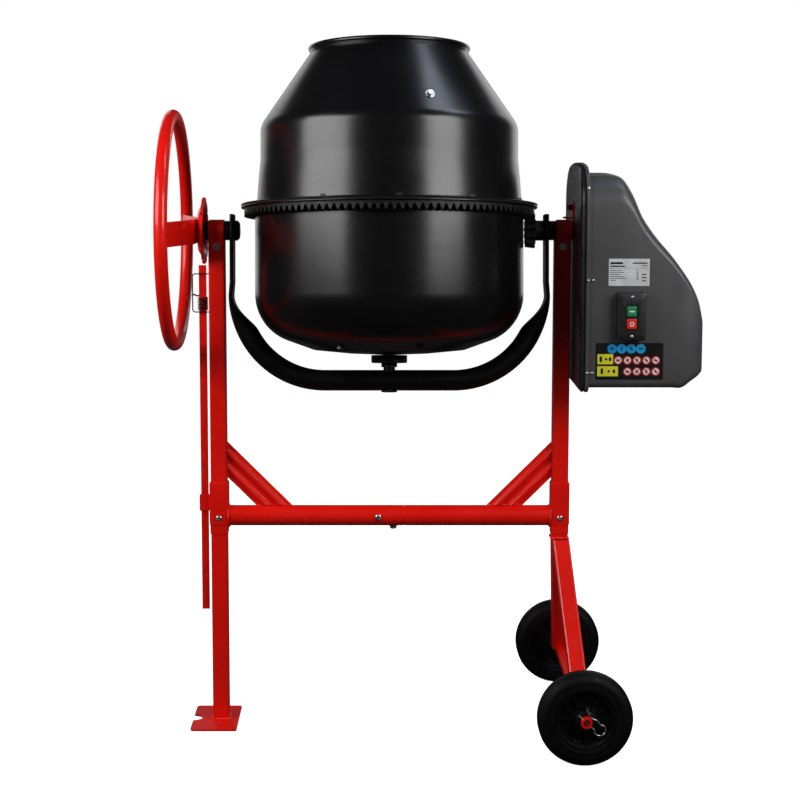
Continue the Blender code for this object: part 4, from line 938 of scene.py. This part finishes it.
def lower_drum():
    """The spun bowl: flange, straight wall, round corner and dished bottom."""
    centre_r = LOWER_RADIUS - CORNER_RADIUS
    top = FLANGE_Z + SHEET
    rim = FLANGE_RADIUS - 0.0006
    outside = [(rim, top), (FLANGE_RADIUS, top - 0.0008), (FLANGE_RADIUS, FLANGE_Z + 0.0008)]
    outside += fillet([(rim, FLANGE_Z), (LOWER_RADIUS, FLANGE_Z, 0.004), (LOWER_RADIUS, 0.02)])
    outside += [(LOWER_RADIUS, z) for z in (-0.03, -0.08)]
    outside += arc((centre_r, CORNER_Z), CORNER_RADIUS, 0, -70, 28)
    dish = [(0.160, BOTTOM_Z + 0.0108, 0.030), (0.085, BOTTOM_Z + 0.0035, 0.06), (0, BOTTOM_Z)]
    outside += fillet([outside[-1]] + dish, 8)[1:]
    inside = [(LOWER_RADIUS - SHEET, top)] + [(LOWER_RADIUS - SHEET, z) for z in (0.0, -0.08)]
    inside += arc((centre_r, CORNER_Z), CORNER_RADIUS - SHEET, 0, -70, 28)
    inside += [(0.160, BOTTOM_Z + 0.0108 + SHEET), (0, BOTTOM_Z + SHEET)]
    cage = lathe(list(reversed(inside)) + outside, 256)
    piece("lower_drum_bowl", cage, "drum_enamel", "drum", TILTED, ("lower_drum",), smooth=40)


def upper_drum():
    """The upper wall, cone and rolled mouth."""
    base, high = UPPER_FLANGE_Z, UPPER_FLANGE_Z + SHEET
    line = [
        (FLANGE_RADIUS - 0.0006, base), (FLANGE_RADIUS, base + 0.0008), (FLANGE_RADIUS, high - 0.0008),
        (FLANGE_RADIUS - 0.0008, high), (UPPER_RADIUS + 0.0006, high, 0.005),
        (UPPER_RADIUS - 0.0010, 0.075, 0.03), ((UPPER_RADIUS + CONE_RADIUS) / 2, 0.110, 0.05),
        (CONE_RADIUS, 0.150, 0.05), (CONE_RADIUS, CONE_Z, 0.045),
        (MOUTH_RADIUS + 0.0020, MOUTH_Z - 0.0085, 0.004),
    ]
    outside = fillet(line, 7)
    bead = arc((MOUTH_RADIUS + 0.0008, MOUTH_Z + 0.0024), 0.0050, -60, 200, 16)
    inside = [(MOUTH_RADIUS - 0.0030, MOUTH_Z - 0.008), (CONE_RADIUS - 0.0070, CONE_Z - 0.001)]
    inside += [(CONE_RADIUS - SHEET, CONE_Z - 0.016), (CONE_RADIUS - SHEET, 0.150)]
    inside += [(UPPER_RADIUS - 0.0060, 0.088), (UPPER_RADIUS - SHEET, base)]
    cage = lathe(outside + bead + inside, 256)
    piece("upper_drum_cone", cage, "drum_enamel", "drum", TILTED, ("upper_drum",), smooth=40)


def flange_fixings():
    """Bolts round the flange, over the ring gear, and the gasket between the flanges."""
    seal = [(0.3145, 0.0513), (0.3140, 0.0516), (0.2860, 0.0516), (0.2860, 0.0498), (0.3140, 0.0498)]
    piece("flange_gasket", lathe(seal, 192), "seal_rubber", "drum", TILTED, ("flange_seal",))
    high = UPPER_FLANGE_Z + SHEET
    spots = []
    for i in range(FLANGE_BOLTS):
        a = FLANGE_BOLT_START + 360 / FLANGE_BOLTS * i
        spots.append(((*arc((0, 0), FLANGE_BOLT_RADIUS, a, a, 1)[0], high - 0.0002), (0, 0, 1)))
    fasteners("flange_bolts", hex_bolt(0.010, 0.0045, 0.0078), spots, "cast_iron", "drum", TILTED)


def blade_bolts():
    """The outer ends of the bolts that hold the two blades, on the cone and on the bottom."""
    slope = Vector((CONE_RADIUS - MOUTH_RADIUS, MOUTH_Z - CONE_Z)).normalized()
    high, low = [], []
    for i in range(2):
        a = math.radians(BLADE_BEARING + 180 * i)
        around = Vector((math.cos(a), math.sin(a), 0))
        fraction = (BLADE_BOLT_HIGH - CONE_Z) / (MOUTH_Z - 0.0085 - CONE_Z)
        radius = CONE_RADIUS + fraction * (MOUTH_RADIUS + 0.002 - CONE_RADIUS)
        outward = around * slope.y + Vector((0, 0, slope.x))
        high.append((around * radius + Vector((0, 0, BLADE_BOLT_HIGH)), outward))
        for turn in (0, -51):
            b = a + math.radians(turn)
            along = Vector((math.cos(b), math.sin(b), 0))
            spot = along * BLADE_BOLT_LOW_RADIUS + Vector((0, 0, BLADE_BOLT_LOW))
            low.append((spot, along * 0.30 + Vector((0, 0, -1))))
    fasteners("blade_upper_bolts", hex_bolt(0.0125, 0.0050, 0.0098), high, "zinc_plate", "drum", TILTED)
    fasteners("blade_lower_bolts", hex_bolt(0.012, 0.0055, 0.0090), low, "drum_enamel", "drum", TILTED)


def drum_base():
    """The hub, the spindle with its flat head under the yoke, and the blades."""
    hub = [
        (0.0380, -0.2665), (0.0385, -0.2675), (0.0385, -0.2810), (0.0370, -0.2828),
        (0.0180, -0.2830), (0.0170, -0.2840), (0.0170, -0.2918), (0.0131, -0.2918),
        (0.0131, -0.2805), (0.0303, -0.2803), (0.0303, -0.2665),
    ]
    piece("drum_hub_casting", lathe(hub, 72), "cast_iron", "drum", TILTED, ("drum_hub",), smooth=30)
    head = YOKE_BOTTOM - YOKE_PIPE - 0.0003
    spindle = [(0, -0.2677), (0.0120, -0.2677), (0.0125, -0.2683), (0.0125, head), (0.0165, head)]
    spindle += [(0.0170, head - 0.0005), (0.0170, head - 0.0022), (0.0160, head - 0.0030)]
    spindle = lathe(spindle + [(0, head - 0.0030)], 64)
    piece("drum_spindle_pin", spindle, "satin_black_paint", "yoke", TILTED, ("drum_spindle",), smooth=30)
    for node in ("mixing_blade_1", "mixing_blade_2"):
        refined(node, "drum_enamel", 0.0008, 25)


def gears():
    """Ring gear and pinion, with rounded tooth edges."""
    for node in ("ring_gear_half_1", "ring_gear_half_2"):
        refined(node, "cast_iron", 0.0004, 18)
    refined("pinion_gear", "cast_iron", 0.0004, 28)


# Housing


def housing_ring(x, low, high, half_depth, top_radius, low_radius, crown):
    """A rounded section of the housing across X, its top raised to a crown in the middle."""
    corners = (
        ((half_depth, high), top_radius, 0),
        ((-half_depth, high), top_radius, 90),
        ((-half_depth, low), low_radius, 180),
        ((half_depth, low), low_radius, 270),
    )
    ring = []
    for (y, z), radius, start in corners:
        middle = (y - math.copysign(radius, y), z + (radius if start >= 180 else -radius))
        for u, v in arc(middle, radius, start, start + 90, 10):
            lift = crown * max(0.0, 1 - (u / half_depth) ** 2) if start < 180 else 0.0
            ring.append((x, u, v + lift))
        if start == 0:
            top = [(0.3 * k, high + crown * (1 - (0.3 * k) ** 2)) for k in (1, 0, -1)]
            ring += [(x, half_depth * part, height) for part, height in top]
    return ring


def cover_sections():
    """Smoothed body sections: X, bottom, top, half depth and top corner radius."""
    low, high, half = COVER_LOW, COVER_HIGH, -HOUSING_FRONT
    rough = [
        (0.4135, low, high, half, 0.060), (0.440, low, high, half, 0.058),
        (0.467, low, high - 0.001, half, 0.055), (0.485, low, high - 0.010, half, 0.050),
        (0.504, low, high - 0.042, half, 0.040), (0.522, low, 1.110, half, 0.030),
        (0.548, low, 1.071, half, 0.024), (0.583, low, 1.030, half, 0.020), (0.606, low, 0.999, half, 0.018),
        (0.625, low + 0.013, 0.970, half - 0.002, 0.018), (0.640, low + 0.023, 0.938, half - 0.008, 0.018),
        (0.649, low + 0.030, 0.905, half - 0.018, 0.018),
    ]
    line = []
    ends = [rough[0]] + rough + [rough[-1]]
    for a, b, c, d in zip(ends, ends[1:], ends[2:], ends[3:]):
        for k in range(4):
            t = k / 4
            line.append(tuple(catmull(p, q, r, s, t) for p, q, r, s in zip(a, b, c, d)))
    return line + [rough[-1]]


def housing():
    """The moulded cover with its flange, and the back plate that it screws to."""
    low, high = FLANGE_LOW, FLANGE_HIGH
    rings = [housing_ring(x, low + inset, high - inset, 0.154 - inset, 0.066, 0.020, 0.018)
             for x, inset in ((0.4040, 0.0012), (0.4048, 0.0), (0.4112, 0.0), (0.4122, 0.0012))]
    rings += [housing_ring(x, a, b, d, r, 0.014, 0.006) for x, a, b, d, r in cover_sections()]
    end_x, end_low, end_high, end_half, _ = cover_sections()[-1]
    for x, shrink in ((end_x + 0.0002, 0.0025), (end_x + 0.0004, 0.0060)):
        bounds = (end_low + shrink, end_high - shrink, end_half - shrink)
        rings.append(housing_ring(x, *bounds, 0.016, 0.011, 0.004))
    cover = loft(rings)
    piece("housing_cover_shell", cover, "charcoal_plastic", "frame", UPRIGHT, ("housing_cover",), smooth=32)

    rounding = [(0.3920, 0.0140), (0.3927, 0.0090), (0.3942, 0.0045), (0.3968, 0.0012)]
    rounding += [(0.3995, 0.0), (0.4010, 0.0), (0.4022, 0.0014)]
    rings = [housing_ring(x, low + inset, high - inset, 0.152 - inset, 0.066 - inset, 0.020, 0.018)
             for x, inset in rounding]
    # The back plate's dark finish is painted shade for the drum's shadow on it, not a darker plastic.
    piece("housing_back_plate", loft(rings), "back_plastic_painted_shade", "frame", UPRIGHT, ("housing_back",), smooth=32)
    ends = (0.4023, 0.4039)
    joint = [housing_ring(x, low + 0.005, high - 0.005, 0.1480, 0.061, 0.016, 0.018) for x in ends]
    piece("housing_joint", loft(joint), "seal_rubber", "frame", smooth=32)


def housing_screws():
    """Zinc screws on the flange's front and back edges, and one on each shoulder of its arch."""
    spots = []
    for z in (0.982, 0.790):
        for side in (-1, 1):
            spots.append(((0.4080, side * 0.1541, z), (0, side, 0)))
            spots.append(((0.4185, side * 0.1499, z), (0, side, 0)))
    shoulder = math.radians(31)
    for side in (-1, 1):
        outward = Vector((0, side * math.cos(shoulder), math.sin(shoulder)))
        corner = Vector((0.4080, side * (0.154 - 0.066), FLANGE_HIGH - 0.066))
        spots.append((corner + outward * 0.0662, outward))
    fasteners("housing_screws", pan_screw(0.0034, 0.0021, 0.0005), spots, "zinc_plate", "frame")


# Labels and switch


def on_front(x, z, y=HOUSING_FRONT):
    """The placement of a part that lies on a front face, its +Z towards the front."""
    return Matrix.Translation((x, y, z)) @ Matrix.Rotation(math.pi / 2, 4, "X")


def front_plate(name, centre, size, depth, finish, radius):
    """A thin sheet on the cover's front face."""
    cage = slab(rounded_box(size, radius), 0, depth)
    return piece(name, cage, finish, "frame", on_front(*centre))


def marks(name, items, finish, base):
    """Printed marks as one piece. Each item is a centre, an outline about it and a turn in degrees."""
    cage = bmesh.new()
    for (x, z), outline, turn in items:
        shape = slab(outline, 0, 0.00012)
        at = on_front(x, z, HOUSING_FRONT - base)
        merge(cage, shape, at @ Matrix.Rotation(math.radians(turn), 4, "Z"))
        shape.free()
    return piece(name, cage, finish, "frame")


def bar(width, height):
    return rounded_box((width, height), min(width, height) * 0.3, 2)


def rating_plate():
    """A silver plate with rows of plain marks where the maker's details would be."""
    x, z = 0.4925, 0.999
    front_plate("rating_plate", (x, z), (0.084, 0.056), 0.0004, "label_silver", 0.0015)
    rows = []
    for k, width in enumerate((0.026, 0.030)):
        rows.append(((x - 0.039 + width / 2, z + 0.019 - 0.0065 * k), bar(width, 0.0040 - 0.0015 * k), 0))
    rows.append(((x + 0.022, z + 0.019), bar(0.031, 0.0026), 0))
    rows.append(((x + 0.0315, z + 0.0135), bar(0.012, 0.0016), 0))
    rows.append(((x, z + 0.0085), bar(0.078, 0.0005), 0))
    for k, width in enumerate((0.024, 0.028, 0.020, 0.027, 0.033, 0.012)):
        rows.append(((x - 0.039 + width / 2, z + 0.0035 - 0.0040 * k), bar(width, 0.0011), 0))
    for k in range(5):
        rows.append(((x + 0.017, z + 0.0035 - 0.0045 * k), bar(0.0035, 0.0020), 0))
    for k, width in enumerate((0.009, 0.011, 0.009)):
        rows.append(((x + 0.031, z - 0.0045 - 0.0065 * k), bar(width, 0.0022), 0))
    marks("rating_marks", rows, "label_black", 0.0004)


def safety_panel():
    """A dark film with plain coloured discs and rectangles, with no symbols that mean anything."""
    x, z = 0.496, 0.813
    front_plate("safety_film", (x - 0.0005, z + 0.0014), (0.140, 0.0765), 0.0002, "label_black", 0.003)
    blue, blue_marks = [], []
    for k in range(4):
        at = (x - 0.0364 + 0.0198 * k, z + 0.0277)
        blue.append((at, circle(0.0098, 40), 0))
        blue_marks.append((at, bar(0.0088, 0.0030), 35 + 50 * k))
    marks("blue_discs", blue, "label_blue", 0.0002)
    marks("blue_disc_marks", blue_marks, "label_black", 0.00032)
    yellow, yellow_marks = [], []
    for k, width in enumerate((0.0325, 0.0430)):
        at = (x - 0.0665 + width / 2, z + 0.0060 - 0.0252 * k)
        yellow.append((at, rounded_box((width, 0.0210), 0.0012), 0))
        for offset, tall in ((-0.28, 0.0120), (0.05, 0.0050), (0.30, 0.0080)):
            yellow_marks.append(((at[0] + offset * width, at[1]), bar(0.0050, tall), 0))
    marks("yellow_panels", yellow, "label_yellow", 0.0002)
    marks("yellow_panel_marks", yellow_marks, "label_black", 0.00032)
    rings, faces, slashes, shapes = [], [], [], []
    for row, count in enumerate((5, 4)):
        for k in range(count):
            at = (x - 0.0237 + 0.0195 * (k + row), z + 0.0036 - 0.0233 * row)
            rings.append((at, circle(0.0089, 40), 0))
            faces.append((at, circle(0.0067, 40), 0))
            shapes.append((at, bar(0.0076, 0.0040), 20 + 37 * k))
            slashes.append((at, bar(0.0150, 0.0018), -45))
    marks("red_rings", rings, "label_red", 0.0002)
    marks("ring_faces", faces, "label_white", 0.00032)
    marks("ring_marks", shapes, "label_black", 0.00044)
    marks("ring_bars", slashes, "label_red", 0.00056)


def switch():
    """The switch box with its raised face, screws, sunken bezel and two push buttons."""
    low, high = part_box("switch_box")
    middle = ((low.x + high.x) / 2, (low.z + high.z) / 2)
    wide, tall, deep = high.x - low.x, high.z - low.z, high.y - low.y
    start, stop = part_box("start_button"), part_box("stop_button")
    well = (start[1].x - start[0].x + 0.0026, start[1].z - stop[0].z + 0.0026)
    drop = (start[1].z + stop[0].z) / 2 - middle[1]
    case = [
        ((wide, tall), 0.0050, 0.0, 0.0), ((wide, tall), 0.0050, 0.0, deep - 0.0030),
        ((wide - 0.0012, tall - 0.0012), 0.0045, 0.0, deep - 0.0009),
        ((wide - 0.0044, tall - 0.0044), 0.0040, 0.0, deep),
        ((well[0] + 0.0068, well[1] + 0.0068), 0.0050, drop, deep),
        ((well[0] + 0.0060, well[1] + 0.0060), 0.0046, drop, deep + 0.0010),
        ((well[0] + 0.0012, well[1] + 0.0012), 0.0030, drop, deep + 0.0010),
        (well, 0.0024, drop, deep + 0.0004), (well, 0.0024, drop, deep - 0.0078),
    ]
    rings = []
    for size, corner, offset, height in case:
        rings.append([(u, v + offset, height) for u, v in rounded_box(size, corner)])
    at = on_front(*middle, high.y)
    piece("switch_case", loft(rings), "switch_plastic", "frame", at, ("switch_box",), smooth=30)
    bar_z = (start[0].z + stop[1].z) / 2 - middle[1]
    outline = [(u, v + bar_z) for u, v in rounded_box((well[0] - 0.0002, 0.0034), 0.0004)]
    divider = slab(outline, deep - 0.0077, deep - 0.0008)
    piece("switch_divider", divider, "switch_plastic", "frame", at, (), 0.0003)
    cage = slab(rounded_box((wide + 0.0016, tall + 0.0016), 0.0058), 0, 0.0030)
    piece("switch_base", cage, "switch_plastic", "frame", at, (), 0.0006)
    spots = [((middle[0], low.y + 0.0003, z), (0, -1, 0)) for z in (low.z + 0.0085, high.z - 0.0085)]
    fasteners("switch_screws", pan_screw(0.0036, 0.0018, 0.0006), spots, "zinc_plate", "frame")
    for node, finish in (("start_button", "start_green"), ("stop_button", "stop_red")):
        cap_low, cap_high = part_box(node)
        size = (cap_high.x - cap_low.x, cap_high.z - cap_low.z)
        depth = cap_high.y - cap_low.y
        crown = []
        shape = ((0, 0), (0, depth - 0.0014), (0.0005, depth - 0.0006), (0.0014, depth - 0.0001))
        for shrink, y in shape + ((0.0030, depth),):
            scale_u, scale_v = 1 - 2 * shrink / size[0], 1 - 2 * shrink / size[1]
            crown.append([(u * scale_u, v * scale_v, y) for u, v in rounded_box(size, 0.0026)])
        at = on_front((cap_low.x + cap_high.x) / 2, (cap_low.z + cap_high.z) / 2, cap_high.y)
        piece(node + "_cap", loft(crown), finish, node, at, (node,), smooth=40)
        base, face = depth - 0.0001, depth + 0.0001
        if node == "stop_button":
            mark = lathe([(0.0046, base), (0.0046, face), (0.0030, face), (0.0030, base)], 40)
        else:
            mark = slab(bar(0.0105, 0.0026), base, face)
        piece(node + "_mark", mark, "label_white", node, at)


# Locking bar


def locking_bar():
    """The foot-operated bar, its spring, cross pin and wire keeper."""
    refined("lock_bar", "red_paint", 0.0008)
    low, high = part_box("lock_spring")
    radius, wire = 0.0104, 0.0011
    turns, steps = 8, 24
    bottom, top = low.z + wire, high.z - wire
    coil = []
    for i in range(turns * steps + 1):
        a = math.tau * i / steps
        height = bottom + (top - bottom) * i / (turns * steps)
        coil.append((-0.400 + radius * math.cos(a), radius * math.sin(a), height))
    coil = sweep(coil, wire, 10)
    spring = piece("return_spring", coil, "spring_steel", "frame", UPRIGHT, ("lock_spring",), smooth=60)
    spring.parent = None
    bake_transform(spring)
    z = 0.9375
    pin = [(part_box("spring_pin")[1].x - 0.0002, 0, z), (-0.412, 0, z), (-0.416, 0.001, z + 0.001)]
    pin += [(-0.420, 0.0028, z + 0.0026), (-0.4235, 0.003, z - 0.001)]
    pin = sweep(smooth_path(pin, 6), 0.0017, 12)
    piece("cross_pin", pin, "spring_steel", "lock_bar", UPRIGHT, ("spring_pin",), smooth=60)
    x, y, radius = -0.421, -0.0085, 0.006
    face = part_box("spring_keeper")[1].x
    top, bottom = 0.985, 0.903
    path = [(face, top), (x + 0.014, top), *arc((x + radius, top - radius), radius, 90, 180, 8)]
    path += [*arc((x + radius, bottom + radius), radius, 180, 270, 8), (x + 0.014, bottom), (face, bottom)]
    bail = sweep([(px, y, pz) for px, pz in path], 0.0013, 12)
    piece("keeper_wire", bail, "spring_steel", "frame", UPRIGHT, ("spring_keeper",), smooth=60)


# Everything else keeps its CAD shape


def carry_over():
    """Gives each CAD node that still shows its procedural finish."""
    for row in frame["record"]["subparts"]:
        if row["node"] in REPLACED:
            continue
        item = NODES[row["node"]]
        if not item.data.materials:
            item.data.materials.append(None)
        for holder in item.material_slots:
            holder.material = FINISHES[row["material_slot"]]


# Camera, light and floor


def camera():
    lens = bpy.data.cameras.new("camera")
    lens.lens = 77.74
    lens.sensor_width = 36
    lens.shift_x = 0.0276
    lens.shift_y = -0.0886
    item = bpy.data.objects.new("camera", lens)
    item.location = (-0.0242, -3.6936, 1.2674)
    item.rotation_euler = (math.radians(83.785), 0, 0)
    bpy.context.scene.collection.objects.link(item)
    bpy.context.scene.camera = item


def softbox(name, place, target, size, radiance, colour=(1, 1, 1)):
    """A rectangular light of a given brightness, aimed at a point."""
    light = bpy.data.lights.new(name, "AREA")
    light.shape = "RECTANGLE"
    light.size, light.size_y = size
    light.energy = radiance * math.pi * size[0] * size[1]
    light.color = colour
    item = bpy.data.objects.new(name, light)
    item.location = place
    item.rotation_euler = (Vector(target) - Vector(place)).to_track_quat("-Z", "Y").to_euler()
    bpy.context.scene.collection.objects.link(item)


def lights():
    """Two tall side softboxes, one overhead, and two dimmer ones behind."""
    softbox("left_softbox", (-2.10, -1.36, 2.02), (0, 0, 2.02), (1.95, 1.40), 6.9)
    softbox("right_softbox", (1.83, -1.71, 2.02), (0, 0, 2.02), (1.38, 1.40), 7.4)
    softbox("overhead_softbox", (1.76, -0.3, 3.7), (0, 0, 1.2), (0.8, 1.4), 5.4, (0.76, 0.83, 1.0))
    softbox("back_left_softbox", (-1.6, 2.9, 1.7), (0, 0, 1.0), (1.6, 2.2), 1.0)
    softbox("back_right_softbox", (1.7, 2.9, 1.7), (0, 0, 1.0), (1.6, 2.2), 1.2)
    world = bpy.data.worlds.new("studio")
    world.use_nodes = True
    bpy.context.scene.world = world
    tree = world.node_tree
    seen = tree.nodes["Background"]
    seen.inputs["Color"].default_value = (1, 1, 1, 1)
    seen.inputs["Strength"].default_value = 1.0
    fill = tree.nodes.new("ShaderNodeBackground")
    fill.inputs["Color"].default_value = (0.94, 0.96, 1, 1)
    fill.inputs["Strength"].default_value = 0.032
    path = tree.nodes.new("ShaderNodeLightPath")
    mix = tree.nodes.new("ShaderNodeMixShader")
    tree.links.new(path.outputs["Is Camera Ray"], mix.inputs[0])
    tree.links.new(fill.outputs[0], mix.inputs[1])
    tree.links.new(seen.outputs[0], mix.inputs[2])
    tree.links.new(mix.outputs[0], tree.nodes["World Output"].inputs["Surface"])


def floor():
    """A plain pale floor."""
    cage = bmesh.new()
    bmesh.ops.create_grid(cage, x_segments=1, y_segments=1, size=9)
    mesh = bpy.data.meshes.new("floor")
    cage.to_mesh(mesh)
    cage.free()
    item = bpy.data.objects.new("floor", mesh)
    item.location = (0, 0, -0.0003)
    bpy.context.scene.collection.objects.link(item)
    pale = Recipe("pale_floor", 0.9)
    pale.colour(pale.mix(pale.spread(pale.noise(2, 2), 0.3, 0.7), (0.86, 0.86, 0.86), (0.88, 0.88, 0.88)))
    pale.shader.inputs["Emission Color"].default_value = (1, 1, 1, 1)
    pale.shader.inputs["Emission Strength"].default_value = 0.98
    mesh.materials.append(pale.material)
    item.visible_glossy = False
    item.visible_diffuse = False


def main():
    stand_tubes()
    round_tubes()
    stand_welds()
    stand_bolts()
    wheel("front", -1)
    wheel("back", 1)
    axle_and_clips()
    yoke_pieces()
    locking_disc()
    handwheel()
    lower_drum()
    upper_drum()
    flange_fixings()
    blade_bolts()
    drum_base()
    gears()
    housing()
    housing_screws()
    rating_plate()
    safety_panel()
    switch()
    locking_bar()
    carry_over()
    camera()
    lights()
    floor()
    bpy.context.scene.view_settings.view_transform = "Standard"


main()
